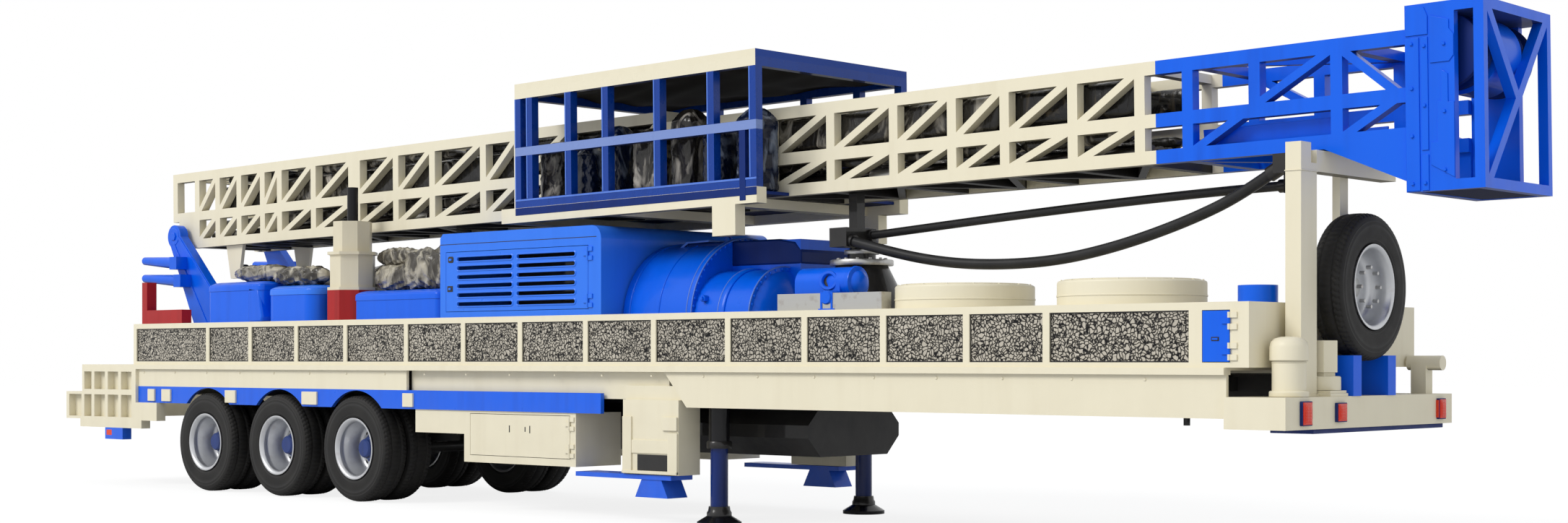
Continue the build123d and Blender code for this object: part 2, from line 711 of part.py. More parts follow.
# Landing legs, each under a cross rib, with a round foot on the ground
with BuildPart() as landing_legs:
    for side in SIDES.values():
        y = side * LEG_Y
        leg_top = LIP_BASE_Z - CROSS_RIB_DEPTH
        round_bar((LEG_X, y, LEG_LOWER_TOP_Z), (LEG_X, y, leg_top), LEG_UPPER_RADIUS)
        round_bar((LEG_X, y, LEG_FOOT_HEIGHT), (LEG_X, y, LEG_LOWER_TOP_Z), LEG_LOWER_RADIUS)
        foot_edge = (LEG_X, y, LEG_FOOT_HEIGHT / 3)
        round_bar(foot_edge, (LEG_X, y, LEG_FOOT_HEIGHT), LEG_FOOT_RADIUS, LEG_UPPER_RADIUS)
        round_bar((LEG_X, y, 0), foot_edge, LEG_FOOT_RADIUS)
landing_legs.part.label = "landing_legs"
export_step(landing_legs.part, "parts/landing_legs.step")

# Tank slung under the main beams
with BuildPart() as underslung_tank:
    tank_height = MAIN_BEAM_BASE_Z - TANK_BASE_Z
    with BuildSketch(Plane.YZ.offset(TANK_X[0])) as tank_section:
        with Locations((0, TANK_BASE_Z)):
            Rectangle(2 * TANK_HALF_WIDTH, tank_height, align=(Align.CENTER, Align.MIN))
        chamfer(tank_section.vertices().group_by(Axis.Z)[0], TANK_CORNER)
    extrude(amount=TANK_X[1] - TANK_X[0])
underslung_tank.part.label = "underslung_tank"
export_step(underslung_tank.part, "parts/underslung_tank.step")

# Axle tubes with spindles and seats, the leaf springs on them, and brackets up to the main beams
twin_middle = HALF_WIDTH - TYRE_WIDTH - TWIN_GAP / 2
hub_start = twin_middle - TYRE_WIDTH - TWIN_GAP / 2 - HUB_REACH
spring_z = (TYRE_RADIUS + SPRING_SEAT, TYRE_RADIUS + SPRING_SEAT + SPRING_THICK)
axle_pitch = AXLE_X[1] - AXLE_X[0]
axle_pieces = []
for x in AXLE_X:
    with BuildPart() as axle:
        tube_end = hub_start - AXLE_GAP
        spindle_end = HUB_NOSE_Y - SPINDLE_SHORT
        round_bar((x, -tube_end, TYRE_RADIUS), (x, tube_end, TYRE_RADIUS), AXLE_RADIUS)
        round_bar((x, -spindle_end, TYRE_RADIUS), (x, spindle_end, TYRE_RADIUS), SPINDLE_RADIUS)
        for y in (-MAIN_BEAM_Y, MAIN_BEAM_Y):
            seat_y = (y - SPRING_WIDTH / 2, y + SPRING_WIDTH / 2)
            block((x - SPRING_SEAT, x + SPRING_SEAT), seat_y, (TYRE_RADIUS, spring_z[0]))
    axle_pieces.append(axle.part)
for y in (-MAIN_BEAM_Y, MAIN_BEAM_Y):
    spring_x = (AXLE_X[0] - axle_pitch / 2, AXLE_X[-1] + axle_pitch / 2)
    spring_y = (y - SPRING_WIDTH / 2, y + SPRING_WIDTH / 2)
    axle_pieces.append(single_block(spring_x, spring_y, spring_z))
    for x in (*AXLE_X, AXLE_X[-1] + axle_pitch):
        hanger_x = (x - axle_pitch / 2 - HANGER_LENGTH / 2, x - axle_pitch / 2 + HANGER_LENGTH / 2)
        axle_pieces.append(single_block(hanger_x, spring_y, (spring_z[1], MAIN_BEAM_BASE_Z)))
export_touching("axles", axle_pieces)


def tyre_profile(start, end):
    """Draws half a tyre's section as radius and distance along the axle."""
    Polygon(
        (TYRE_BORE, start + TYRE_SHOULDER / 2),
        (TYRE_BORE + TYRE_SHOULDER, start),
        (TYRE_RADIUS - TYRE_SHOULDER, start),
        (TYRE_RADIUS, start + TYRE_SHOULDER),
        (TYRE_RADIUS, end - TYRE_SHOULDER),
        (TYRE_RADIUS - TYRE_SHOULDER, end),
        (TYRE_BORE + TYRE_SHOULDER, end),
        (TYRE_BORE, end - TYRE_SHOULDER / 2),
        align=None,
    )


def rim_profile():
    """Draws half of the twin rims' section with disc, hub and nose."""
    barrel = TYRE_BORE - RIM_FIT
    inner = barrel - RIM_THICK
    start = HALF_WIDTH - 2 * TYRE_WIDTH - TWIN_GAP
    Polygon(
        (SPINDLE_RADIUS + RIM_FIT, hub_start),
        (HUB_RADIUS, hub_start),
        (HUB_RADIUS, twin_middle - RIM_THICK / 2),
        (inner, twin_middle - RIM_THICK / 2),
        (inner, start),
        (barrel + RIM_LIP, start),
        (barrel + RIM_LIP, start + RIM_LIP / 2),
        (barrel, start + RIM_LIP / 2),
        (barrel, HALF_WIDTH - RIM_LIP / 2),
        (barrel + RIM_LIP, HALF_WIDTH - RIM_LIP / 2),
        (barrel + RIM_LIP, HALF_WIDTH),
        (inner, HALF_WIDTH),
        (inner, twin_middle + RIM_THICK / 2),
        (HUB_RADIUS + HUB_FLARE, twin_middle + RIM_THICK / 2),
        (HUB_RADIUS, twin_middle + HUB_FLARE_LENGTH),
        (HUB_RADIUS - HUB_TAPER, HUB_NOSE_Y - HUB_TAPER),
        (HUB_RADIUS - HUB_TAPER - HUB_NOSE_BEVEL, HUB_NOSE_Y),
        (0, HUB_NOSE_Y),
        (0, HUB_NOSE_Y - HUB_CAP_THICK),
        (SPINDLE_RADIUS + RIM_FIT, HUB_NOSE_Y - HUB_CAP_THICK),
        align=None,
    )


# Twin wheels: a tyre node and a rim node for each axle end
for number, x in enumerate(AXLE_X, start=1):
    for name, side in SIDES.items():
        wheel_plane = Plane(origin=(x, 0, TYRE_RADIUS), x_dir=(1, 0, 0), z_dir=(0, 0, -side))
        wheel_axis = Axis((x, 0, TYRE_RADIUS), (0, 1, 0))
        with BuildPart() as tyre:
            with BuildSketch(wheel_plane) as tyre_section:
                tyre_profile(HALF_WIDTH - TYRE_WIDTH, HALF_WIDTH)
                tyre_profile(HALF_WIDTH - 2 * TYRE_WIDTH - TWIN_GAP, HALF_WIDTH - TYRE_WIDTH - TWIN_GAP)
            revolve(axis=wheel_axis)
        tyre.part.label = f"tyre_{number}_{name}"
        export_step(tyre.part, f"parts/tyre_{number}_{name}.step")
        with BuildPart() as rim:
            with BuildSketch(wheel_plane) as rim_section:
                rim_profile()
            revolve(axis=wheel_axis)
        rim.part.label = f"rim_{number}_{name}"
        export_step(rim.part, f"parts/rim_{number}_{name}.step")

# Tail frame of boxy channels: an upper bay under the platform and a lower bay with an end beam
with BuildPart() as tail_frame:
    side_y = (HALF_WIDTH - TAIL_DEPTH, HALF_WIDTH)
    upper_x = (PLATFORM_REAR_X, REAR_SKIRT_X[0])
    block((TAIL_X, TAIL_X + TAIL_DEPTH), (-HALF_WIDTH, HALF_WIDTH), (TAIL_BASE_Z, TAIL_TOP_Z))
    for side in SIDES.values():
        channel_y = (side * side_y[0], side * side_y[1])
        pocket_y = (side * (side_y[0] + TAIL_WALL), side * side_y[1])
        bays = (
            (upper_x, (TAIL_TOP_Z, LIP_BASE_Z)),
            ((TAIL_X, upper_x[1]), (TAIL_BASE_Z, TAIL_TOP_Z)),
            ((upper_x[1], TAIL_FRONT_X), (TAIL_BASE_Z, RAIL_BASE_Z)),
            (TAIL_LOW_X, (TAIL_LOW_Z, TAIL_BASE_Z)),
        )
        for bay_x, bay_z in bays:
            block(bay_x, channel_y, bay_z)
        pocket_edges = (TAIL_X + TAIL_WALL, *TAIL_POST_X)
        for first, last in zip(pocket_edges, pocket_edges[1:]):
            pocket_x = (first + TAIL_POST / 2, last - TAIL_POST / 2)
            low_pocket_z = (TAIL_BASE_Z + TAIL_WALL, TAIL_TOP_Z - TAIL_WALL)
            block(pocket_x, pocket_y, low_pocket_z, mode=Mode.SUBTRACT)
            if first > upper_x[0]:
                high_pocket_z = (TAIL_TOP_Z + TAIL_WALL, LIP_BASE_Z - TAIL_WALL)
                block(pocket_x, pocket_y, high_pocket_z, mode=Mode.SUBTRACT)
    block((PLATFORM_REAR_X, PLATFORM_REAR_X + TAIL_WALL), (-side_y[0], side_y[0]), (TAIL_TOP_Z, LIP_BASE_Z))
tail_frame.part.label = "tail_frame"
export_step(tail_frame.part, "parts/tail_frame.step")

# Front bumper, a shelf that is open below
with BuildPart() as front_bumper:
    block(BUMPER_X, (-HALF_WIDTH, HALF_WIDTH), BUMPER_Z)
    pocket_x = (BUMPER_X[0] + BUMPER_WALL, BUMPER_X[1] - BUMPER_WALL)
    pocket_y = (-HALF_WIDTH + BUMPER_WALL, HALF_WIDTH - BUMPER_WALL)
    block(pocket_x, pocket_y, (BUMPER_Z[0], BUMPER_Z[1] - BUMPER_WALL), mode=Mode.SUBTRACT)
front_bumper.part.label = "front_bumper"
export_step(front_bumper.part, "parts/front_bumper.step")

# Lamps on the bumper's face, and the boxes under the tail frame with a lamp on each rear face
with BuildPart() as marker_lamps:
    bumper_middle_z = sum(BUMPER_Z) / 2
    lamp_z = (bumper_middle_z - LAMP_SIZE / 2, bumper_middle_z + LAMP_SIZE / 2)
    for y in FRONT_LAMP_Y:
        lamp_y = (y - LAMP_SIZE / 2, y + LAMP_SIZE / 2)
        block((BUMPER_X[1], BUMPER_X[1] + LAMP_DEPTH), lamp_y, lamp_z)
    for side in SIDES.values():
        block(LAMP_BOX_X, (side * side_y[0], side * side_y[1]), (TAIL_LOW_Z - LAMP_SIZE, TAIL_LOW_Z))
        rear_lamp_z = (TAIL_LOW_Z - LAMP_SIZE + REAR_LAMP_INSET, TAIL_LOW_Z - REAR_LAMP_INSET)
        lamp_y = (side * (side_y[0] + LAMP_DEPTH), side * (side_y[1] - LAMP_DEPTH))
        block((LAMP_BOX_X[0] - LAMP_DEPTH, LAMP_BOX_X[0]), lamp_y, rear_lamp_z)
marker_lamps.part.label = "marker_lamps"
export_step(marker_lamps.part, "parts/marker_lamps.step")

# Pivot tower: a leaning leg each side with the mast's pivot pin, a cross tube and two rear arms, and on the
# deck a pair of ears with a pin for each hoist cylinder
with BuildPart() as pivot_tower:
    for side in SIDES.values():
        leg_y = sorted((side * TOWER_Y[0], side * TOWER_Y[1]))
        leg = [
            (TOWER_FOOT_X[0], DECK_Z),
            (PIVOT_X - TOWER_HEAD_RADIUS, PIVOT_Z),
            (PIVOT_X + TOWER_HEAD_RADIUS, PIVOT_Z),
            (TOWER_FOOT_X[1], DECK_Z),
        ]
        side_plate(leg, leg_y)
        round_bar((PIVOT_X, leg_y[0], PIVOT_Z), (PIVOT_X, leg_y[1], PIVOT_Z), TOWER_HEAD_RADIUS)
        pin_reach = side * (MAST_HALF_WIDTH - MAST_MEMBER)
        round_bar((PIVOT_X, side * TOWER_Y[0], PIVOT_Z), (PIVOT_X, pin_reach, PIVOT_Z), PIN_RADIUS)
        for arm_z in ARM_Z:
            leg_slope = (TOWER_FOOT_X[0] - PIVOT_X) / (PIVOT_Z - DECK_Z)
            root_x = PIVOT_X + (PIVOT_Z - arm_z) * leg_slope + ARM_RADIUS
            root = (root_x, side * ARM_Y, arm_z)
            round_bar(root, (ARM_TIP_X, side * ARM_Y, arm_z + ARM_TIP_RADIUS), ARM_RADIUS, ARM_TIP_RADIUS)
            root_span = (root_x - ARM_RADIUS, root_x + ARM_RADIUS)
            root_y = (side * TOWER_Y[1], side * (ARM_Y + ARM_RADIUS))
            block(root_span, root_y, (arm_z - ARM_RADIUS, arm_z + ARM_RADIUS))
    cross_x = sum(TOWER_FOOT_X) / 2 - ARM_RADIUS
    cross_z = DECK_Z + CROSS_TUBE_HEIGHT
    round_bar((cross_x, -TOWER_Y[0], cross_z), (cross_x, TOWER_Y[0], cross_z), ARM_RADIUS)
    ear_inner = EYE_HALF_WIDTH + EAR_GAP
    for y in (-HOIST_Y, HOIST_Y):
        for direction in SIDES.values():
            ear_y = sorted((y + direction * ear_inner, y + direction * (ear_inner + LUG_THICK)))
            ear = [
                (HOIST_BASE[0] - 2 * EYE_RADIUS, DECK_Z),
                (HOIST_BASE[0] - EYE_RADIUS, HOIST_BASE[1] + EYE_RADIUS),
                (HOIST_BASE[0] + EYE_RADIUS, HOIST_BASE[1] + EYE_RADIUS),
                (HOIST_BASE[0] + 2 * EYE_RADIUS, DECK_Z),
            ]
            side_plate(ear, ear_y)
        pin_start = (HOIST_BASE[0], y - ear_inner, HOIST_BASE[1])
        pin_end = (HOIST_BASE[0], y + ear_inner, HOIST_BASE[1])
        round_bar(pin_start, pin_end, EYE_BORE - HOIST_PIN_FIT)
pivot_tower.part.label = "pivot_tower"
export_step(pivot_tower.part, "parts/pivot_tower.step")

def octagon_column(side, z, width, top_width=None):
    """Adds an eight-sided length of a lock column between two heights."""
    with BuildSketch(Plane.XY.offset(z[0])) as foot:
        with Locations((COLUMN_X, side * COLUMN_Y)):
            RegularPolygon(width / 2, 8, major_radius=False, rotation=22.5)
    if top_width is None:
        extrude(foot.sketch, amount=z[1] - z[0])
        return
    with BuildSketch(Plane.XY.offset(z[1])) as head:
        with Locations((COLUMN_X, side * COLUMN_Y)):
            RegularPolygon(top_width / 2, 8, major_radius=False, rotation=22.5)
    loft([foot.sketch, head.sketch])


# Red control post with its low block on the near edge of the deck, and the red bases of the lock columns
with BuildPart() as red_posts:
    block(POST_X, POST_Y, (DECK_Z, POST_TOP_Z))
    block((POST_X[1], POST_BLOCK_FRONT_X), POST_Y, (DECK_Z, DECK_Z + POST_BLOCK_HEIGHT))
    for side in SIDES.values():
        octagon_column(side, (DECK_Z, COLUMN_BASE_Z), COLUMN_BASE_WIDTH)
red_posts.part.label = "red_posts"
export_step(red_posts.part, "parts/red_posts.step")

# Lock columns beside the mast: pale barrel with flange, ring and cap, black rod
with BuildPart() as lock_columns:
    for side in SIDES.values():
        octagon_column(side, (COLUMN_BASE_Z, COLUMN_BASE_Z + COLUMN_RING), COLUMN_BASE_WIDTH)
        octagon_column(side, (COLUMN_BASE_Z + COLUMN_RING, COLUMN_BARREL_Z), COLUMN_WIDTH)
        octagon_column(side, (COLUMN_BARREL_Z, COLUMN_BARREL_Z + COLUMN_RING), COLUMN_BASE_WIDTH)
        octagon_column(side, (COLUMN_BARREL_Z + COLUMN_RING, COLUMN_CAP_Z), COLUMN_CAP_WIDTH)
        rod_y = side * COLUMN_Y
        round_bar((COLUMN_X, rod_y, COLUMN_CAP_Z), (COLUMN_X, rod_y, COLUMN_ROD_Z), COLUMN_ROD_RADIUS)
lock_columns.part.label = "lock_columns"
export_step(lock_columns.part, "parts/lock_columns.step")

# Engine canopy, a shell with a rounded nose and a door opening on both sides
with BuildPart() as engine_canopy:
    canopy_size = (CANOPY_X[1] - CANOPY_X[0], CANOPY_TOP_Z - DECK_Z)
    canopy_middle = (sum(CANOPY_X) / 2, (CANOPY_TOP_Z + DECK_Z) / 2)
    with BuildSketch(Plane.XZ.offset(CANOPY_HALF_WIDTH)) as canopy_outline:
        with Locations(canopy_middle):
            Rectangle(*canopy_size)
        top_corners = canopy_outline.vertices().group_by(Axis.Y)[-1].sort_by(Axis.X)
        fillet(top_corners[-1], CANOPY_NOSE)
        chamfer(canopy_outline.vertices().sort_by(Axis.X)[:2].sort_by(Axis.Y)[-1], CANOPY_WALL)
    extrude(amount=-2 * CANOPY_HALF_WIDTH)
    with BuildSketch(Plane.XZ.offset(CANOPY_HALF_WIDTH - CANOPY_WALL)) as canopy_hollow:
        with Locations((canopy_middle[0], canopy_middle[1] - CANOPY_WALL / 2)):
            Rectangle(canopy_size[0] - 2 * CANOPY_WALL, canopy_size[1] - CANOPY_WALL)
        hollow_corners = canopy_hollow.vertices().group_by(Axis.Y)[-1].sort_by(Axis.X)
        fillet(hollow_corners[-1], CANOPY_NOSE - CANOPY_WALL)
    extrude(amount=-2 * (CANOPY_HALF_WIDTH - CANOPY_WALL), mode=Mode.SUBTRACT)
    for side in SIDES.values():
        wall_y = (side * (CANOPY_HALF_WIDTH - CANOPY_WALL), side * CANOPY_HALF_WIDTH)
        opening_x = (CANOPY_DOOR_X[0] - DOOR_GAP, CANOPY_DOOR_X[1] + DOOR_GAP)
        opening_z = (CANOPY_DOOR_Z[0] - DOOR_GAP, CANOPY_DOOR_Z[1] + DOOR_GAP)
        block(opening_x, wall_y, opening_z, mode=Mode.SUBTRACT)
        frame_knuckles(CANOPY_DOOR_X[1] + DOOR_GAP / 2, side, CANOPY_HALF_WIDTH, CANOPY_DOOR_Z)
engine_canopy.part.label = "engine_canopy"
export_step(engine_canopy.part, "parts/engine_canopy.step")

# Louvred canopy doors
for name, side in SIDES.items():
    with BuildPart() as canopy_door:
        door_y = (side * (CANOPY_HALF_WIDTH - DOOR_THICK), side * CANOPY_HALF_WIDTH)
        block(CANOPY_DOOR_X, door_y, CANOPY_DOOR_Z)
        door_knuckles(CANOPY_DOOR_X[1] + DOOR_GAP / 2, side, CANOPY_HALF_WIDTH, CANOPY_DOOR_Z)
        with BuildSketch(Plane.XZ.offset(-side * CANOPY_HALF_WIDTH)) as louvres:
            with Locations((sum(CANOPY_DOOR_X) / 2, sum(CANOPY_DOOR_Z) / 2)):
                with GridLocations(LOUVRE_PITCH_X, LOUVRE_PITCH_Z, LOUVRE_COLUMNS, LOUVRE_ROWS):
                    Rectangle(*LOUVRE_SIZE)
        extrude(louvres.sketch, amount=DOOR_THICK, both=True, mode=Mode.SUBTRACT)
    canopy_door.part.label = f"canopy_door_{name}"
    export_step(canopy_door.part, f"parts/canopy_door_{name}.step")

# Engine, one plain block on its bearers
with BuildPart() as engine_block:
    block(ENGINE_X, (-ENGINE_HALF_WIDTH, ENGINE_HALF_WIDTH), (DECK_Z + ENGINE_BEARER, ENGINE_TOP_Z))
    for y in (-ENGINE_HALF_WIDTH + ENGINE_BEARER, ENGINE_HALF_WIDTH - ENGINE_BEARER):
        block(ENGINE_X, (y - ENGINE_BEARER / 2, y + ENGINE_BEARER / 2), (DECK_Z, DECK_Z + ENGINE_BEARER))
engine_block.part.label = "engine_block"
export_step(engine_block.part, "parts/engine_block.step")

# Compressor drum with its flange, gear case and cowl, cut off flat by the deck, and the pump's gear case
with BuildPart() as compressor:
    drum_start = (DRUM_X[0], DRUM_Y, DRUM_Z)
    drum_end = (DRUM_X[1], DRUM_Y, DRUM_Z)
    round_bar(drum_start, drum_end, DRUM_RADIUS)
    flange_start = (DRUM_X[1] - DRUM_FLANGE, DRUM_Y, DRUM_Z)
    round_bar(flange_start, drum_end, DRUM_RADIUS + DRUM_FLANGE / 2)
    round_bar((GEAR_X[0], GEAR_Y, DRUM_Z), (GEAR_X[1], GEAR_Y, DRUM_Z), GEAR_RADIUS)
    block(COWL_X, COWL_Y, COWL_Z)
    block((GEAR_X[0], COWL_X[1]), (COWL_Y[0], COWL_Y[1]), (DECK_Z, COWL_Z[0]))
    drum_reach = DRUM_RADIUS + DRUM_FLANGE
    below_deck = (DRUM_Z - drum_reach, DECK_Z)
    block((DRUM_X[0], COWL_X[1]), (DRUM_Y - drum_reach, DRUM_Y + drum_reach), below_deck, mode=Mode.SUBTRACT)
    block(PUMP_GEAR_X, PUMP_GEAR_Y, (DECK_Z, PUMP_GEAR_Z))
    gear_middle_y = sum(PUMP_GEAR_Y) / 2
    gear_radius = (PUMP_GEAR_Y[1] - PUMP_GEAR_Y[0]) / 2
    gear_start = (PUMP_GEAR_X[0], gear_middle_y, PUMP_GEAR_Z)
    gear_end = (PUMP_GEAR_X[1] + PUMP_GEAR_NOSE, gear_middle_y, PUMP_GEAR_Z)
    round_bar(gear_start, gear_end, gear_radius)
compressor.part.label = "compressor"
export_step(compressor.part, "parts/compressor.step")

# Mud pump: a bell on the deck, a ring and a short column
with BuildPart() as mud_pump:
    with BuildSketch(Plane.XZ.offset(-PUMP_Y)) as pump_profile:
        Polygon(*((PUMP_X + radius, DECK_Z + height) for radius, height in PUMP_PROFILE), align=None)
    revolve(axis=Axis((PUMP_X, PUMP_Y, 0), (0, 0, 1)))
mud_pump.part.label = "mud_pump"
export_step(mud_pump.part, "parts/mud_pump.step")

# Bare steel beam along the deck edge
with BuildPart() as steel_beam:
    block(STEEL_BEAM_X, STEEL_BEAM_Y, (DECK_Z, STEEL_BEAM_TOP_Z))
steel_beam.part.label = "steel_beam"
export_step(steel_beam.part, "parts/steel_beam.step")

# Two round cooler drums and a small round cap on the front deck
with BuildPart() as cooler_drums:
    with BuildSketch(Plane.XY.offset(DECK_Z)) as cooler_outline:
        with Locations(*((x, COOLER_Y) for x in COOLER_X)):
            Circle(COOLER_RADIUS)
    extrude(amount=COOLER_HEIGHT)
    fillet(cooler_drums.edges().group_by(Axis.Z)[-1], COOLER_EDGE)
cooler_drums.part.label = "cooler_drums"
export_step(cooler_drums.part, "parts/cooler_drums.step")

# Blue covers over the winches on the rear deck, and the round filler cap at the front
with BuildPart() as deck_covers:
    for cover_x, cover_y, cover_top, corner in DECK_COVERS:
        with BuildSketch(Plane.XY.offset(DECK_Z)) as cover_outline:
            for side in SIDES.values():
                with Locations((sum(cover_x) / 2, side * sum(cover_y) / 2)):
                    RectangleRounded(cover_x[1] - cover_x[0], cover_y[1] - cover_y[0], corner)
        extrude(amount=cover_top - DECK_Z)
    round_bar((CAP_X, CAP_Y, DECK_Z), (CAP_X, CAP_Y, DECK_Z + CAP_HEIGHT), CAP_RADIUS)
deck_covers.part.label = "deck_covers"
export_step(deck_covers.part, "parts/deck_covers.step")

# Hoist cylinders, drawn along the line from the base pin to the rod's eye
hoist_run = Vector(HOIST_EYE[0] - HOIST_BASE[0], 0, HOIST_EYE[1] - HOIST_BASE[1])
hoist_line = hoist_run.normalized()


def hoist_point(distance, y):
    """Gives the point on a cylinder's axis at a distance from the base pin."""
    return (HOIST_BASE[0] + hoist_line.X * distance, y, HOIST_BASE[1] + hoist_line.Z * distance)


def hoist_eye(distance, y):
    """Adds an eye round a pin line across the cylinder."""
    x, _, z = hoist_point(distance, y)
    round_bar((x, y - EYE_HALF_WIDTH, z), (x, y + EYE_HALF_WIDTH, z), EYE_RADIUS)


def hoist_bore(distance, y):
    """Cuts the pin hole of an eye."""
    x, _, z = hoist_point(distance, y)
    round_bar((x, y - EYE_HALF_WIDTH, z), (x, y + EYE_HALF_WIDTH, z), EYE_BORE, mode=Mode.SUBTRACT)


with BuildPart() as hoist_barrels:
    for y in (-HOIST_Y, HOIST_Y):
        round_bar(hoist_point(BARREL_START, y), hoist_point(BARREL_LENGTH, y), BARREL_RADIUS)
        round_bar(hoist_point(EYE_RADIUS - EYE_SUNK, y), hoist_point(BARREL_START, y), ROD_RADIUS)
        hoist_eye(0, y)
        hoist_bore(0, y)
        bore_end = hoist_point(BARREL_LENGTH, y)
        round_bar(hoist_point(ROD_START - BORE_SPARE, y), bore_end, ROD_RADIUS + ROD_FIT, mode=Mode.SUBTRACT)
hoist_barrels.part.label = "hoist_barrels"
export_step(hoist_barrels.part, "parts/hoist_barrels.step")

with BuildPart() as hoist_rods:
    for y in (-HOIST_Y, HOIST_Y):
        rod_end = hoist_point(hoist_run.length - EYE_RADIUS + EYE_SUNK, y)
        round_bar(hoist_point(ROD_START, y), rod_end, ROD_RADIUS)
        hoist_eye(hoist_run.length, y)
        hoist_bore(hoist_run.length, y)
hoist_rods.part.label = "hoist_rods"
export_step(hoist_rods.part, "parts/hoist_rods.step")

# Spare wheel on the front post, its section drawn as radius and distance along X
spare_plane = Plane(origin=(0, 0, SPARE_Z), x_dir=(0, 0, 1), z_dir=(0, 1, 0))
spare_axis = Axis((0, 0, SPARE_Z), (1, 0, 0))
with BuildPart() as spare_tyre:
    with BuildSketch(spare_plane) as spare_section:
        tyre_profile(*SPARE_X)
    revolve(axis=spare_axis)
spare_tyre.part.label = "spare_tyre"
export_step(spare_tyre.part, "parts/spare_tyre.step")

# Spare rim, a dished disc in a barrel
with BuildPart() as spare_rim:
    barrel = TYRE_BORE - RIM_FIT
    with BuildSketch(spare_plane) as spare_rim_section:
        Polygon(
            (0, SPARE_DISC_X),
            (barrel - RIM_THICK, SPARE_DISC_X),
            (barrel - RIM_THICK, SPARE_X[0]),
            (barrel, SPARE_X[0]),
            (barrel, SPARE_X[1] - RIM_LIP / 2),
            (barrel + RIM_LIP, SPARE_X[1] - RIM_LIP / 2),
            (barrel + RIM_LIP, SPARE_X[1]),
            (barrel - RIM_THICK, SPARE_X[1]),
            (barrel - RIM_THICK, SPARE_DISC_X + RIM_THICK),
            (0, SPARE_DISC_X + RIM_THICK),
            align=None,
        )
    revolve(axis=spare_axis)
spare_rim.part.label = "spare_rim"
export_step(spare_rim.part, "parts/spare_rim.step")

# Mast rest on the bumper: near post, centre post with the spare's boss, and a beam under the mast
with BuildPart() as mast_rest:
    mast_rise = tan(radians(MAST_TILT))
    mast_under_z = PIVOT_Z + (REST_X[0] - PIVOT_X) * mast_rise + MAST_BASE / cos(radians(MAST_TILT))
    beam_top = mast_under_z - REST_BEAM_GAP
    block(REST_X, REST_Y, (BUMPER_Z[1], REST_TOP_Z))
    notch_x = (REST_X[1] - REST_NOTCH[0], REST_X[1])
    notch_y = (REST_Y[1] - REST_NOTCH[1], REST_Y[1])
    block(notch_x, notch_y, (REST_TOP_Z - REST_NOTCH[2], REST_TOP_Z), mode=Mode.SUBTRACT)
    block(REST_X, (REST_Y[1], REST_BEAM_END_Y), (beam_top - REST_BEAM_DEPTH, beam_top))
    centre_y = (-CENTRE_POST_HALF_WIDTH, CENTRE_POST_HALF_WIDTH)
    block((BODY_X[1], REST_X[0]), centre_y, (BUMPER_Z[1], beam_top))
    round_bar((REST_X[0], 0, SPARE_Z), (SPARE_DISC_X, 0, SPARE_Z), SPARE_BOSS_RADIUS)
mast_rest.part.label = "mast_rest"
export_step(mast_rest.part, "parts/mast_rest.step")

# What stands on the bumper: canister, hexagonal post, cradle blocks and a pipe end on its stand
with BuildPart() as front_fittings:
    bumper_top = BUMPER_Z[1]
    canister_top = bumper_top + CANISTER_HEIGHT
    round_bar((FITTING_X, CANISTER_Y, bumper_top), (FITTING_X, CANISTER_Y, canister_top), CANISTER_RADIUS)
    fillet(front_fittings.edges().sort_by(Axis.Z)[-1], CANISTER_RADIUS / 3)
    with BuildSketch(Plane.XY.offset(bumper_top)) as hex_section:
        with Locations((FITTING_X, HEX_POST_Y)):
            RegularPolygon(HEX_POST_RADIUS, 6)
    extrude(amount=HEX_POST_HEIGHT)
    hex_base_x = (FITTING_X - HEX_BASE / 2, FITTING_X + HEX_BASE / 2)
    hex_base_y = (HEX_POST_Y - HEX_BASE / 2, HEX_POST_Y + HEX_BASE / 2)
    block(hex_base_x, hex_base_y, (bumper_top, bumper_top + HEX_BASE_THICK))
    cradle_top = SPARE_Z - (TYRE_RADIUS**2 - CRADLE_Y[0] ** 2) ** 0.5 - GUIDE_GAP
    for side in SIDES.values():
        cradle_y = (side * CRADLE_Y[0], side * CRADLE_Y[1])
        block(SPARE_X, cradle_y, (bumper_top, cradle_top))
    pipe_stand_y = (PIPE_END_Y - PIPE_END_RADIUS, PIPE_END_Y + PIPE_END_RADIUS)
    block(REST_X, pipe_stand_y, (bumper_top, PIPE_END_Z))
    pipe_start = (REST_X[0] - PIPE_END_TAIL, PIPE_END_Y, PIPE_END_Z)
    round_bar(pipe_start, (BUMPER_X[1], PIPE_END_Y, PIPE_END_Z), PIPE_END_RADIUS)
front_fittings.part.label = "front_fittings"
export_step(front_fittings.part, "parts/front_fittings.step")

# Mast planes: seen from the side, and seen from above at a height over the pivot line
mast_direction = (cos(radians(MAST_TILT)), 0, sin(radians(MAST_TILT)))
MAST = Plane(origin=(PIVOT_X, 0, PIVOT_Z), x_dir=mast_direction, z_dir=(0, -1, 0))
INNER_HALF_WIDTH = MAST_HALF_WIDTH - MAST_MEMBER
CROWN_END = (CROWN_END_X - PIVOT_X + CROWN_HEIGHT[0] * mast_direction[2]) / mast_direction[0]


def mast_level(height):
    """Gives the plane that lies along the mast at a height over the pivot line."""
    return Plane(origin=MAST.from_local_coords((0, height, 0)), x_dir=mast_direction, z_dir=MAST.y_dir)


def chord_heights(depth):
    """Gives the middle heights of the low, middle and top chord of a mast section."""
    low = MAST_BASE + MAST_CHORD / 2
    return (low, MAST_BASE + MID_CHORD_SHARE * depth, MAST_BASE + depth - MAST_CHORD / 2)


def mast_side(side, section, braces):
    """Adds one side frame: the sketch section draws chords and posts, and braces run between two points."""
    first_y = min(side * MAST_HALF_WIDTH, side * INNER_HALF_WIDTH)
    with BuildSketch(MAST.offset(-first_y)) as frame:
        section()
        for start, end in braces:
            truss_bar(start, end, BRACE)
    extrude(frame.sketch, amount=-MAST_MEMBER)


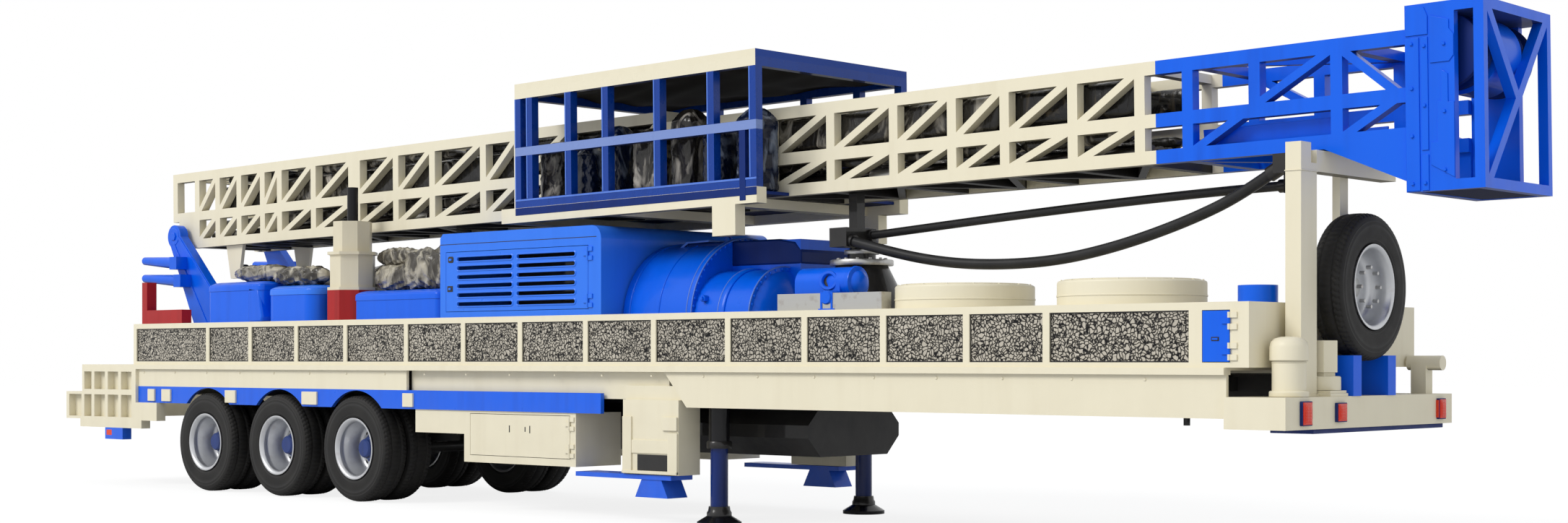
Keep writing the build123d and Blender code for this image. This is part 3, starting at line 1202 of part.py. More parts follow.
def bay_braces(posts, heights, rising):
    """Gives one brace in the low and one in the high bay between each pair of posts."""
    low, middle, top = heights
    braces = []
    for first, last in zip(posts, posts[1:]):
        start, end = (first, last) if rising else (last, first)
        braces.append(((start, low), (end, middle)))
        braces.append(((start, middle), (end, top)))
    return braces


def mast_ladder(posts, height):
    """Gives the cross members at the posts with a zigzag of lacing, all between the side frames."""
    with BuildPart() as ladder:
        with BuildSketch(mast_level(height)) as members:
            for u in posts:
                with Locations((u, 0)):
                    Rectangle(MAST_MEMBER, 2 * INNER_HALF_WIDTH)
            for number, (first, last) in enumerate(zip(posts, posts[1:])):
                side = 1 if number % 2 else -1
                truss_bar((first, side * INNER_HALF_WIDTH), (last, -side * INNER_HALF_WIDTH), BRACE)
            with Locations(((posts[0] + posts[-1]) / 2, 0)):
                Rectangle(posts[-1] - posts[0] + MAST_MEMBER, 2 * INNER_HALF_WIDTH, mode=Mode.INTERSECT)
        extrude(members.sketch, amount=CROSS_DEPTH)
    return ladder.part


def chords(spans, heights):
    """Draws the chords of a side frame from their spans along the mast."""
    for (start, end), height in zip(spans, heights):
        with Locations(((start + end) / 2, height)):
            Rectangle(end - start, MAST_CHORD)


def posts_drawn(posts, base, depth, width=MAST_MEMBER):
    """Draws upright posts of a side frame."""
    for u in posts:
        with Locations((u, base + depth / 2)):
            Rectangle(width, depth)


lower_heights = chord_heights(LOWER_DEPTH)
upper_heights = chord_heights(UPPER_DEPTH)
joint_post = SECTION_JOINT - MAST_MEMBER / 2
wide_post = LOWER_POSTS[6]


def lower_section():
    """Draws the lower section's chords, posts and pivot plate."""
    whole_span = (MAST_REAR, SECTION_JOINT)
    spans = ((LOW_CHORD_REAR, SECTION_JOINT), whole_span, whole_span)
    chords(spans, lower_heights)
    posts_drawn((*LOWER_POSTS, joint_post), MAST_BASE, LOWER_DEPTH)
    posts_drawn((wide_post,), MAST_BASE, LOWER_DEPTH, WIDE_POST)
    rear_post_depth = lower_heights[2] - lower_heights[1]
    posts_drawn((MAST_REAR + MAST_MEMBER / 2,), lower_heights[1], rear_post_depth)
    Circle(BOSS_RADIUS)
    pivot_plate = (
        (-BOSS_RADIUS, lower_heights[1]),
        (-BOSS_RADIUS, 0),
        (LOW_CHORD_REAR, MAST_BASE),
        (LOWER_POSTS[0], MAST_BASE),
        (LOWER_POSTS[0], lower_heights[1]),
    )
    Polygon(*pivot_plate, align=None)
    Circle(PIN_RADIUS + PIN_FIT, mode=Mode.SUBTRACT)


def upper_section():
    """Draws the upper section's chords and posts."""
    chords(((SECTION_JOINT, HEAD_START),) * 3, upper_heights)
    posts_drawn(UPPER_POSTS, MAST_BASE, UPPER_DEPTH)


# Mast frame: a side frame each side with the plate beside the hoist rod's eye, and the ladders between them
lower_bays = (*LOWER_POSTS, joint_post)
eye_u, eye_v, _ = MAST.to_local_coords(Vector(HOIST_EYE[0], 0, HOIST_EYE[1]))
lug = (
    (eye_u - 2 * EYE_RADIUS, MAST_BASE),
    (eye_u - EYE_RADIUS, eye_v - EYE_RADIUS),
    (eye_u + EYE_RADIUS, eye_v - EYE_RADIUS),
    (eye_u + 2 * EYE_RADIUS, MAST_BASE),
)
mast_pieces = [
    mast_ladder(lower_bays, MAST_BASE),
    mast_ladder((MAST_REAR + MAST_MEMBER / 2, *lower_bays), MAST_BASE + LOWER_DEPTH - CROSS_DEPTH),
    mast_ladder(UPPER_POSTS, MAST_BASE),
    mast_ladder(UPPER_POSTS, MAST_BASE + UPPER_DEPTH - CROSS_DEPTH),
]
for side in SIDES.values():
    with BuildPart() as mast_wall:
        rising = side == SIDES["near"]
        mast_side(side, lower_section, bay_braces(lower_bays, lower_heights, rising))
        mast_side(side, upper_section, bay_braces(UPPER_POSTS, upper_heights, rising))
        side_plate(lug, sorted((side * INNER_HALF_WIDTH, side * (INNER_HALF_WIDTH + LUG_THICK))), MAST)
    mast_pieces.append(mast_wall.part)
export_touching("mast_frame", mast_pieces)


def head_section():
    """Draws the blue head section's chords and posts."""
    chords(((HEAD_START, CROWN_START),) * 3, upper_heights)
    posts_drawn(HEAD_POSTS, MAST_BASE, UPPER_DEPTH)
    posts_drawn((SHORT_HEAD_POST,), upper_heights[1], upper_heights[2] - upper_heights[1])


# Blue head section of the mast, with a wedge plate under each side's end
low, middle, top = upper_heights
last_post = CROWN_START - MAST_MEMBER / 2
head_braces = {
    "near": (
        ((HEAD_POSTS[0], low), (HEAD_POSTS[1], top)),
        ((HEAD_POSTS[1], top), (last_post, middle)),
        ((HEAD_POSTS[1], low), (last_post, middle)),
    ),
    "far": (
        ((HEAD_POSTS[0], top), (HEAD_POSTS[1], low)),
        ((HEAD_POSTS[1], middle), (last_post, top)),
        ((HEAD_POSTS[1], middle), (last_post, low)),
    ),
}
wedge = ((WEDGE_START, MAST_BASE), (CROWN_START, MAST_BASE), (CROWN_START, WEDGE_BASE))
head_pieces = [
    mast_ladder((HEAD_POSTS[0], HEAD_CROSS, HEAD_POSTS[1]), MAST_BASE),
    mast_ladder(HEAD_POSTS, MAST_BASE + UPPER_DEPTH - CROSS_DEPTH),
]
for name, side in SIDES.items():
    with BuildPart() as head_wall:
        mast_side(side, head_section, head_braces[name])
        wedge_y = sorted((side * (MAST_HALF_WIDTH - CROWN_PLATE_THICK), side * MAST_HALF_WIDTH))
        side_plate(wedge, wedge_y, MAST)
    head_pieces.append(head_wall.part)
export_touching("mast_head", head_pieces)

# Crown: side plates, box frame with braces, and the round sheave housing on its shaft
with BuildPart() as crown:
    base, peak = CROWN_HEIGHT
    plate_end = CROWN_START + CROWN_PLATE_LENGTH
    inside = CROWN_HALF_WIDTH - CROWN_PLATE_THICK
    for side in SIDES.values():
        plate_y = sorted((side * inside, side * CROWN_HALF_WIDTH))
        side_block((CROWN_START, CROWN_END), plate_y, CROWN_HEIGHT, MAST)
        window_u = (plate_end, CROWN_END - CROWN_BAR)
        side_block(window_u, plate_y, (base + CROWN_BAR, peak - CROWN_BAR), MAST, Mode.SUBTRACT)
    for span_u, span_v in (
        ((CROWN_START, CROWN_END), (peak - CROWN_BAR, peak)),
        ((CROWN_START, CROWN_START + CROWN_BAR), (base, base + CROWN_BAR)),
        ((CROWN_END - CROWN_BAR, CROWN_END), (base, base + CROWN_BAR)),
    ):
        side_block(span_u, (-inside, inside), span_v, MAST)
    face_middle = MAST.from_local_coords((CROWN_END - CROWN_BAR / 2, (base + peak) / 2, 0))
    with BuildSketch(Plane(origin=face_middle, x_dir=(0, 1, 0), z_dir=mast_direction)) as face_braces:
        half_height = (peak - base) / 2 - CROWN_BAR / 2
        truss_bar((-inside, -half_height), (inside, half_height), CROWN_BAR)
        truss_bar((-inside, half_height), (0, 0), CROWN_BAR)
    extrude(face_braces.sketch, amount=CROWN_BAR / 2, both=True)
    for half_width, radius in ((inside, CROWN_SHAFT_RADIUS), (CROWN_SHEAVE_HALF_WIDTH, CROWN_SHEAVE_RADIUS)):
        x, _, z = MAST.from_local_coords((*CROWN_SHEAVE_AT, 0))
        round_bar((x, -half_width, z), (x, half_width, z), radius)
crown.part.label = "crown"
export_step(crown.part, "parts/crown.step")


def mast_block(u, y, v):
    """Gives a box between two values along, across and up the mast as a solid of its own."""
    with BuildPart() as single:
        side_block(u, sorted(y), v, MAST)
    return single.part


# Floor beams under the cage with two short legs, cross beams below the mast, and the cage's roof
floor_pieces = []
beam_y = (CAGE_HALF_WIDTH - CAGE_BEAM_WIDTH, CAGE_HALF_WIDTH)
for side in SIDES.values():
    floor_y = (side * beam_y[0], side * beam_y[1])
    floor_pieces.append(mast_block((CAGE_BEAM_START, CAGE_END), floor_y, (CAGE_BEAM_BASE, CAGE_BASE)))
    floor_pieces.append(mast_block(CAGE_LEG, floor_y, (CAGE_LEG_BASE, CAGE_BEAM_BASE)))
for u in CAGE_CROSS_BEAMS:
    cross_u = (u - CAGE_CROSS_WIDTH / 2, u + CAGE_CROSS_WIDTH / 2)
    floor_pieces.append(mast_block(cross_u, (-beam_y[0], beam_y[0]), (CAGE_BEAM_BASE, MAST_BASE)))
roof_height = (CAGE_TOP, CAGE_TOP + CAGE_ROOF_THICK)
floor_pieces.append(mast_block((CAGE_START, CAGE_END), (-CAGE_HALF_WIDTH, CAGE_HALF_WIDTH), roof_height))
export_touching("cage_floor_roof", floor_pieces)

# Cage of posts and rails on both sides of the mast, with a bar across the top of each end
cage_pieces = []
ends = (CAGE_START + CAGE_BAR / 2, CAGE_END - CAGE_BAR / 2)
mid_rail = (CAGE_MID - CAGE_BAR / 2, CAGE_MID + CAGE_BAR / 2)
cage_rails = ((CAGE_BASE, CAGE_BASE + CAGE_BAR), mid_rail, (CAGE_TOP - CAGE_BAR, CAGE_TOP))
for side in SIDES.values():
    bar_y = (side * (CAGE_HALF_WIDTH - CAGE_BAR), side * CAGE_HALF_WIDTH)
    for rail in cage_rails:
        cage_pieces.append(mast_block((CAGE_START, CAGE_END), bar_y, rail))
    for lower, upper in zip(cage_rails, cage_rails[1:]):
        for post in (*ends, *CAGE_POSTS):
            post_u = (post - CAGE_BAR / 2, post + CAGE_BAR / 2)
            cage_pieces.append(mast_block(post_u, bar_y, (lower[1], upper[0])))
bar_reach = CAGE_HALF_WIDTH - CAGE_BAR
for end in ends:
    end_u = (end - CAGE_BAR / 2, end + CAGE_BAR / 2)
    cage_pieces.append(mast_block(end_u, (-bar_reach, bar_reach), (CAGE_TOP - CAGE_BAR, CAGE_TOP)))
export_touching("cage", cage_pieces)

# Wrapped tools: tubes along the inner faces of the mast, and cases on a plate beside it in the cage
tool_pieces = []
plate_top = MAST_BASE + CASE_PLATE_THICK
tube_y = INNER_HALF_WIDTH - GUIDE_GAP - SIDE_TUBE_RADIUS
for side in SIDES.values():
    for height in SIDE_TUBE_HEIGHTS:
        with BuildPart() as side_tube:
            start, end = (MAST.from_local_coords((u, height, -side * tube_y)) for u in SIDE_TUBE_SPAN)
            round_bar(tuple(start), tuple(end), SIDE_TUBE_RADIUS)
        tool_pieces.append(side_tube.part)
    plate_y = (side * CASE_PLATE_Y[0], side * CASE_PLATE_Y[1])
    tool_pieces.append(mast_block(CASE_PLATE_SPAN, plate_y, (MAST_BASE, plate_top)))
    case_y = (side * CASE_Y[0], side * CASE_Y[1])
    for middle_u, case_length, case_height in CASES:
        case_u = (middle_u - case_length / 2, middle_u + case_length / 2)
        tool_pieces.append(mast_block(case_u, case_y, (plate_top, plate_top + case_height)))
export_touching("stowed_tools", tool_pieces)

# Rotary head on guide shoes between the side frames
with BuildPart() as rotary_head:
    side_block(HEAD_SPAN, (-HEAD_HALF_WIDTH, HEAD_HALF_WIDTH), HEAD_HEIGHT, MAST)
    shoe_face = INNER_HALF_WIDTH - GUIDE_GAP
    for side in SIDES.values():
        shoe_y = sorted((side * HEAD_HALF_WIDTH, side * shoe_face))
        for shoe_u in (HEAD_SPAN[0], HEAD_SPAN[1] - SHOE_LENGTH):
            side_block((shoe_u, shoe_u + SHOE_LENGTH), shoe_y, SHOE_HEIGHT, MAST)
    quill_height = sum(HEAD_HEIGHT) / 2
    quill_start = tuple(MAST.from_local_coords((HEAD_SPAN[0], quill_height, 0)))
    quill_end = tuple(MAST.from_local_coords((HEAD_SPAN[0] - HEAD_QUILL_LENGTH, quill_height, 0)))
    round_bar(quill_start, quill_end, HEAD_QUILL_RADIUS)
rotary_head.part.label = "rotary_head"
export_step(rotary_head.part, "parts/rotary_head.step")

# Drill pipes lying side by side on the mast's bottom cross members
with BuildPart() as drill_pipes:
    pipe_height = MAST_BASE + CROSS_DEPTH + PIPE_RADIUS + GUIDE_GAP
    pipe_origin = MAST.from_local_coords((PIPE_SPAN[0], pipe_height, 0))
    with BuildSketch(Plane(origin=pipe_origin, x_dir=(0, 1, 0), z_dir=mast_direction)) as pipe_sections:
        with GridLocations(PIPE_PITCH, 1, PIPE_COUNT, 1):
            Circle(PIPE_RADIUS)
    extrude(amount=PIPE_SPAN[1] - PIPE_SPAN[0])
drill_pipes.part.label = "drill_pipes"
export_step(drill_pipes.part, "parts/drill_pipes.step")


def ferrule(end, inner, radius):
    """Adds the sleeve that a hose end sits against, along the hose's own direction there."""
    direction = (Vector(*end) - Vector(*inner)).normalized()
    far = Vector(*end) + direction * FERRULE_LENGTH
    round_bar(end, (far.X, far.Y, far.Z), radius)


# Hose fittings under the mast: manifold on its riser, and a bracket for each far end
hoses = (
    ("main_hose", MAIN_HOSE_POINTS, MAIN_HOSE_DIAMETER),
    ("second_hose", SECOND_HOSE_POINTS, SECOND_HOSE_DIAMETER),
)
with BuildPart() as hose_fittings:
    for fitting in (MANIFOLD, MANIFOLD_RISER, MAIN_HOSE_BRACKET, SECOND_HOSE_BRACKET):
        side_block(*fitting, MAST)
    for _, points, diameter in hoses:
        ferrule(points[0], points[1], diameter / 2 + FERRULE_WALL)
        ferrule(points[-1], points[-2], diameter / 2 + FERRULE_WALL)
hose_fittings.part.label = "hose_fittings"
export_step(hose_fittings.part, "parts/hose_fittings.step")


def corner_radii(points):
    """Gives each corner an arc that takes up ARC_SHARE of its shorter run."""
    radii = []
    for before, corner, after in zip(points, points[1:], points[2:]):
        arriving = Vector(*corner) - Vector(*before)
        leaving = Vector(*after) - Vector(*corner)
        half_turn = radians(arriving.get_angle(leaving)) / 2
        radii.append(ARC_SHARE * min(arriving.length, leaving.length) / tan(half_turn))
    return radii


# Hoses, straight runs joined by tangent arcs
for name, points, diameter in hoses:
    radii = corner_radii(points)
    with BuildPart() as hose:
        with BuildLine() as route:
            FilletPolyline(*points, radius=radii)
        with BuildSketch(Plane(origin=points[0], z_dir=route.line % 0)) as hose_section:
            Circle(diameter / 2)
        sweep(sections=hose_section.sketch, path=route.wires()[0])
    hose.part.label = name
    export_step(hose.part, f"parts/{name}.step")
    length = route.wires()[0].length
    expected = hose_section.sketch.area * length
    print(name, "radii", [round(radius) for radius in radii], "length", round(length))
    print(name, "volume", round(hose.part.volume), "section times length", round(expected))
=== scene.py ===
# %% [markdown]
# # A trailer-mounted water well drilling rig
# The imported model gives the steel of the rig: frames, doors, mast, wheels. This script dresses it. It keeps
# every solid where it is, gives each one a paint or metal with some life in it, and adds what is too fine for
# the solids, such as tyre tread, hub nuts, latches, pipe collars and the film-wrapped tools.

# %% Load the frame
from math import cos, pi, radians, sin

import bmesh
import bpy
import numpy as np
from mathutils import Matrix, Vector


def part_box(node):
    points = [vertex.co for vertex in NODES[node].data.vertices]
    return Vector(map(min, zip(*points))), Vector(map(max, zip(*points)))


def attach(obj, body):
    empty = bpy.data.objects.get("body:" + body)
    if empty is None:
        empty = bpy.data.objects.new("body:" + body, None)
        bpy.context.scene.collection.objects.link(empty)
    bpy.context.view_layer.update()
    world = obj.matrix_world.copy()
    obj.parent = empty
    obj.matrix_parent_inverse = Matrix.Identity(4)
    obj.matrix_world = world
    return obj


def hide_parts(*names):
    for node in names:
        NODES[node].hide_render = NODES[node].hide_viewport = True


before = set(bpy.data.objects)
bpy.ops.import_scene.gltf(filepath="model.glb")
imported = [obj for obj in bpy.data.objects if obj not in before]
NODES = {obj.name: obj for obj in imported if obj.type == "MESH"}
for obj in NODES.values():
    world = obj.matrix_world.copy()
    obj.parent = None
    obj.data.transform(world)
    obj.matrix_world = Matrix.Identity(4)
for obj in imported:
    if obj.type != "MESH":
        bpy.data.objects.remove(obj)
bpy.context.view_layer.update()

SIDES = {"near": -1, "far": 1}

# %% [markdown]
# ## The camera
# The picture was taken from beyond the front right corner at about chest height. The camera is level, so that
# posts stay upright, and a small upward shift frames the rig, as an architect's lens does.

# %% Camera
CAMERA_PLACE = (14.51, -14.10, 1.405)
CAMERA_TURN = 42.28
CAMERA_LENS = 49.4
CAMERA_RISE = 0.0625

camera_data = bpy.data.cameras.new("camera")
camera = bpy.data.objects.new("camera", camera_data)
bpy.context.scene.collection.objects.link(camera)
camera.location = CAMERA_PLACE
camera.rotation_euler = (radians(90), 0, radians(CAMERA_TURN))
camera_data.lens = CAMERA_LENS
camera_data.sensor_width = 36
camera_data.shift_y = CAMERA_RISE
camera_data.clip_end = 300
bpy.context.scene.camera = camera
print("camera at", CAMERA_PLACE)

# %% [markdown]
# ## Places on the mast
# The mast lies almost level, its top end a little higher. Pieces on it are drawn in its own directions: along
# it from the pivot, across, and up from the pivot line.

# %% Mast directions
PIVOT = np.array([-7.07, 0.0, 2.80])
MAST_TILT = radians(0.787)
MAST_INSIDE = 0.43


def on_mast(points):
    """Turns (along, across, up) into the frame: pivot + along (cos t, 0, sin t) + up (-sin t, 0, cos t)."""
    u, y, v = np.asarray(points, float).reshape(-1, 3).T
    x = PIVOT[0] + u * cos(MAST_TILT) - v * sin(MAST_TILT)
    z = PIVOT[2] + u * sin(MAST_TILT) + v * cos(MAST_TILT)
    return np.stack([x, y, z], -1)


# %% [markdown]
# ## Small tools for materials
# A finish is a network of nodes that reads Object coordinates, so it stays in the paint when the piece moves.
# These helpers keep each finish to a few lines: one makes the shader, others give a coordinate, a noise, a
# ramp, a sum or a colour mix, and one turns a height into a bump.


# %% Material helpers
def new_finish(name, roughness=0.5, metallic=0.0):
    """Makes a material with a Principled shader and gives the material, its tree and the shader."""
    material = bpy.data.materials.new(name)
    material.use_nodes = True
    tree = material.node_tree
    shader = tree.nodes["Principled BSDF"]
    shader.inputs["Roughness"].default_value = roughness
    shader.inputs["Metallic"].default_value = metallic
    shader.inputs["Specular IOR Level"].default_value = 0.22
    return material, tree, shader


def add_node(tree, kind, **settings):
    """Adds a node and sets its plain properties."""
    node = tree.nodes.new(kind)
    for key, value in settings.items():
        setattr(node, key, value)
    return node


def place_vector(tree, stretch=(1, 1, 1)):
    """Gives Object coordinates, stretched by three factors."""
    source = add_node(tree, "ShaderNodeTexCoord")
    mapping = add_node(tree, "ShaderNodeMapping")
    mapping.inputs["Scale"].default_value = stretch
    tree.links.new(source.outputs["Object"], mapping.inputs["Vector"])
    return mapping.outputs["Vector"]


def coordinate(tree, axis, kind="Object"):
    """Gives one value of a coordinate: the place (Object), the surface direction (Normal) or the UV map."""
    source = add_node(tree, "ShaderNodeTexCoord")
    split = add_node(tree, "ShaderNodeSeparateXYZ")
    tree.links.new(source.outputs[kind], split.inputs["Vector"])
    return split.outputs[axis]


def noise(tree, scale, detail=3.0, stretch=(1, 1, 1), distortion=0.0):
    """Gives a noise factor from 0 to 1 with so many features to a metre."""
    node = add_node(tree, "ShaderNodeTexNoise")
    node.inputs["Scale"].default_value = scale
    node.inputs["Detail"].default_value = detail
    node.inputs["Distortion"].default_value = distortion
    tree.links.new(place_vector(tree, stretch), node.inputs["Vector"])
    return node.outputs["Fac"]


def steps(tree, factor, stops, interpolation="LINEAR"):
    """Turns a factor into a colour by a ramp of (place, colour) stops."""
    ramp = add_node(tree, "ShaderNodeValToRGB")
    ramp.color_ramp.interpolation = interpolation
    elements = ramp.color_ramp.elements
    while len(elements) < len(stops):
        elements.new(1.0)
    for element, (place, colour) in zip(elements, stops):
        element.position = place
        element.color = (*colour, 1.0)
    tree.links.new(factor, ramp.inputs["Fac"])
    return ramp.outputs["Color"]


def blend_colours(tree, factor, first, second):
    """Mixes two colours, each a socket or three numbers, by a factor socket."""
    node = add_node(tree, "ShaderNodeMix", data_type="RGBA")
    tree.links.new(factor, node.inputs[0])
    for socket, value in ((node.inputs[6], first), (node.inputs[7], second)):
        if isinstance(value, bpy.types.NodeSocket):
            tree.links.new(value, socket)
        else:
            socket.default_value = (*value, 1.0)
    return node.outputs[2]


def calculate(tree, operation, first, second=0.0, clamp=False):
    """Adds one Math node on sockets or numbers."""
    node = add_node(tree, "ShaderNodeMath", operation=operation, use_clamp=clamp)
    for socket, value in zip(node.inputs, (first, second)):
        if isinstance(value, bpy.types.NodeSocket):
            tree.links.new(value, socket)
        else:
            socket.default_value = value
    return node.outputs[0]


def spread(tree, factor, low, high):
    """Carries a factor from 0..1 to low..high."""
    node = add_node(tree, "ShaderNodeMapRange")
    node.inputs["To Min"].default_value = low
    node.inputs["To Max"].default_value = high
    tree.links.new(factor, node.inputs["Value"])
    return node.outputs["Result"]


def ramp_between(tree, factor, low, high):
    """Gives 0 at low and beyond, 1 at high and beyond, with a straight ramp between."""
    node = add_node(tree, "ShaderNodeMapRange")
    node.inputs["From Min"].default_value = low
    node.inputs["From Max"].default_value = high
    tree.links.new(factor, node.inputs["Value"])
    return node.outputs["Result"]


def raise_surface(tree, shader, height, strength, distance):
    """Bumps the shader's surface by a height factor, over a distance in metres."""
    node = add_node(tree, "ShaderNodeBump")
    node.inputs["Strength"].default_value = strength
    node.inputs["Distance"].default_value = distance
    tree.links.new(height, node.inputs["Height"])
    tree.links.new(node.outputs["Normal"], shader.inputs["Normal"])


def ground_grime(tree, top, depth):
    """Gives a factor that is 1 at a height and fades to 0 over a depth above it, broken up by noise."""
    fade = ramp_between(tree, coordinate(tree, "Z"), top + depth, top)
    return calculate(tree, "MULTIPLY", fade, noise(tree, 5.0, 6.0))


# %% [markdown]
# ## Paints
# The rig is brush-and-spray painted plate: a warm cream on the trailer and mast, a strong blue on the
# machinery, dark red on two posts. Sprayed plate is never one colour. Each paint gets broad soft clouds of a
# second shade, thin vertical streaks where rain has run, road dust low down, painted shade that darkens and
# dulls its undersides, a slight waviness of the plate, and gloss that changes from place to place.


# %% Paint maker
DUST_COLOUR = (0.30, 0.26, 0.19)
DUST_TOP, DUST_DEPTH, DUST_SHARE = 0.35, 1.1, 0.2
# Undersides are darkened to near black, which is a painted shade, and are made duller.
UNDERSIDE_SHADE_COLOUR = (0.010, 0.009, 0.009)
UNDERSIDE_SHADE_SHARE, UNDERSIDE_DULLNESS = 0.8, 0.6


def facing_down(tree):
    """Gives 1 on undersides, where the surface direction's Z is near -1, and 0 on sides and tops."""
    return ramp_between(tree, coordinate(tree, "Z", "Normal"), -0.6, -0.95)


def paint(name, colour, shade, gloss=0.35, streaks=0.35, coat=0.12, *patches):
    """Sprayed paint on plate: colour with clouds and rain streaks of a second shade, road dust, and painted
    shade on the undersides.

    Each patch is a function that gives 1 where another colour lies, and that colour."""
    material, tree, shader = new_finish(name)
    clouds = spread(tree, noise(tree, 1.3, 4.0), -0.5, 1.2)
    runs = spread(tree, noise(tree, 9.0, 5.0, (1, 1, 0.07)), -1.1, 1.5)
    both = calculate(tree, "MULTIPLY", clouds, runs, clamp=True)
    faded = calculate(tree, "MULTIPLY", both, streaks)
    body_colour = blend_colours(tree, faded, colour, shade)
    for patch, patch_colour in patches:
        body_colour = blend_colours(tree, patch(tree), body_colour, patch_colour)
    dust = calculate(tree, "MULTIPLY", ground_grime(tree, DUST_TOP, DUST_DEPTH), DUST_SHARE)
    dusty = blend_colours(tree, dust, body_colour, DUST_COLOUR)
    # Painted shade: undersides blend to near black.
    below = facing_down(tree)
    underside_shade = calculate(tree, "MULTIPLY", below, UNDERSIDE_SHADE_SHARE)
    tree.links.new(blend_colours(tree, underside_shade, dusty, UNDERSIDE_SHADE_COLOUR), shader.inputs["Base Color"])
    sheen = spread(tree, noise(tree, 6.0, 4.0), gloss - 0.1, gloss + 0.16)
    dull = calculate(tree, "ADD", sheen, calculate(tree, "MULTIPLY", below, UNDERSIDE_DULLNESS), clamp=True)
    tree.links.new(dull, shader.inputs["Roughness"])
    shader.inputs["Coat Weight"].default_value = coat
    shader.inputs["Coat Roughness"].default_value = 0.12
    raise_surface(tree, shader, noise(tree, 3.2, 2.0), 0.12, 0.02)
    return material


def within(tree, value, low, high):
    """Gives 1 where a value lies between two numbers, and 0 outside."""
    above = calculate(tree, "GREATER_THAN", value, low)
    return calculate(tree, "MULTIPLY", above, calculate(tree, "LESS_THAN", value, high))


def turned_sum(tree, along_x, along_z):
    """Gives (X - pivot X) times one number, plus (Z - pivot Z) times another."""
    gone = calculate(tree, "SUBTRACT", coordinate(tree, "X"), PIVOT[0])
    risen = calculate(tree, "SUBTRACT", coordinate(tree, "Z"), PIVOT[2])
    return calculate(tree, "ADD", calculate(tree, "MULTIPLY", gone, along_x),
                     calculate(tree, "MULTIPLY", risen, along_z))


def mast_height(tree):
    """Height over the pivot line: (Z - pivot Z) cos t - (X - pivot X) sin t."""
    return turned_sum(tree, -sin(MAST_TILT), cos(MAST_TILT))


def mast_distance(tree):
    """Distance from the pivot along the mast: (X - pivot X) cos t + (Z - pivot Z) sin t."""
    return turned_sum(tree, cos(MAST_TILT), sin(MAST_TILT))


def bottom_lacing(tree):
    """Gives 1 on the cross bars between the two lowest members of the mast."""
    inside = within(tree, coordinate(tree, "Y"), -MAST_INSIDE + 0.001, MAST_INSIDE - 0.001)
    return calculate(tree, "MULTIPLY", inside, calculate(tree, "LESS_THAN", mast_height(tree), -0.055))


def cage_rail(tree):
    """Gives 1 at the height of the cage's middle rail."""
    return within(tree, mast_height(tree), 0.401, 0.479)


CAGE_FRONT_U = 9.358


def cage_top_rail(tree):
    """Gives 1 on the cage's two long top rails, and 0 on the bars across its ends."""
    side = calculate(tree, "GREATER_THAN", calculate(tree, "ABSOLUTE", coordinate(tree, "Y")), 0.921)
    high = calculate(tree, "GREATER_THAN", mast_height(tree), 0.9305)
    return calculate(tree, "MULTIPLY", calculate(tree, "MULTIPLY", side, high),
                     calculate(tree, "LESS_THAN", mast_distance(tree), CAGE_FRONT_U))


def roof_front(tree):
    """Gives 1 on the front edge of the cage's roof."""
    return calculate(tree, "MULTIPLY", calculate(tree, "GREATER_THAN", mast_distance(tree), CAGE_FRONT_U),
                     calculate(tree, "GREATER_THAN", mast_height(tree), 0.9))


def cradle_blocks(tree):
    """Gives 1 on the two blocks under the spare wheel."""
    return within(tree, coordinate(tree, "Y"), -0.36, 0.36)


def rear_lamp_faces(tree):
    """Gives 1 on the lamps: before the bumper, behind the rear boxes, and a square on the boxes' sides."""
    along = coordinate(tree, "X")
    ends = calculate(tree, "ADD", calculate(tree, "GREATER_THAN", along, 0.0),
                     calculate(tree, "LESS_THAN", along, -7.561))
    height = within(tree, coordinate(tree, "Z"), 0.555, 0.615)
    square = calculate(tree, "MULTIPLY", within(tree, along, -7.53, -7.42), height)
    outer = calculate(tree, "GREATER_THAN", calculate(tree, "ABSOLUTE", coordinate(tree, "Y")), 1.2495)
    return calculate(tree, "ADD", ends, calculate(tree, "MULTIPLY", square, outer), clamp=True)


CREAM_COLOUR = (0.86, 0.80, 0.62)
CREAM_SHADE = (0.66, 0.58, 0.40)
BLUE_COLOUR = (0.0, 0.125, 0.86)
BLUE_SHADE = (0.0, 0.045, 0.42)
LACING_SHADE_BLACK = (0.012, 0.011, 0.011)
CAGE_COLOUR = (0.0, 0.045, 0.32)
LAMP_RED = (0.80, 0.045, 0.012)
CREAM = paint("cream_paint", CREAM_COLOUR, CREAM_SHADE, 0.42, 0.4, 0.06)
# The mast's bottom cross bars are painted near black: painted shade on the mast's underside.
MAST_CREAM = paint("mast_cream_paint", CREAM_COLOUR, CREAM_SHADE, 0.36, 0.4, 0.1,
                   (bottom_lacing, LACING_SHADE_BLACK))
ROOF_CREAM = paint("roof_cream_paint", CREAM_COLOUR, CREAM_SHADE, 0.36, 0.4, 0.1, (roof_front, CAGE_COLOUR))
FITTING_CREAM = paint("fitting_cream_paint", CREAM_COLOUR, CREAM_SHADE, 0.42, 0.4, 0.06,
                      (cradle_blocks, BLUE_COLOUR))
BLUE = paint("royal_blue_paint", BLUE_COLOUR, BLUE_SHADE, 0.3, 0.6, 0.15)
LAMP_BLUE = paint("lamp_box_blue_paint", BLUE_COLOUR, BLUE_SHADE, 0.3, 0.5, 0.15, (rear_lamp_faces, LAMP_RED))
CANOPY_BLUE = paint("canopy_blue_paint", (0.030, 0.20, 0.92), (0.0, 0.10, 0.62), 0.3, 0.35, 0.15)
CAGE_BLUE = paint("cage_blue_paint", CAGE_COLOUR, (0.0, 0.012, 0.10), 0.24, 0.6, 0.2,
                  (cage_rail, (0.20, 0.29, 0.62)), (cage_top_rail, CREAM_COLOUR))
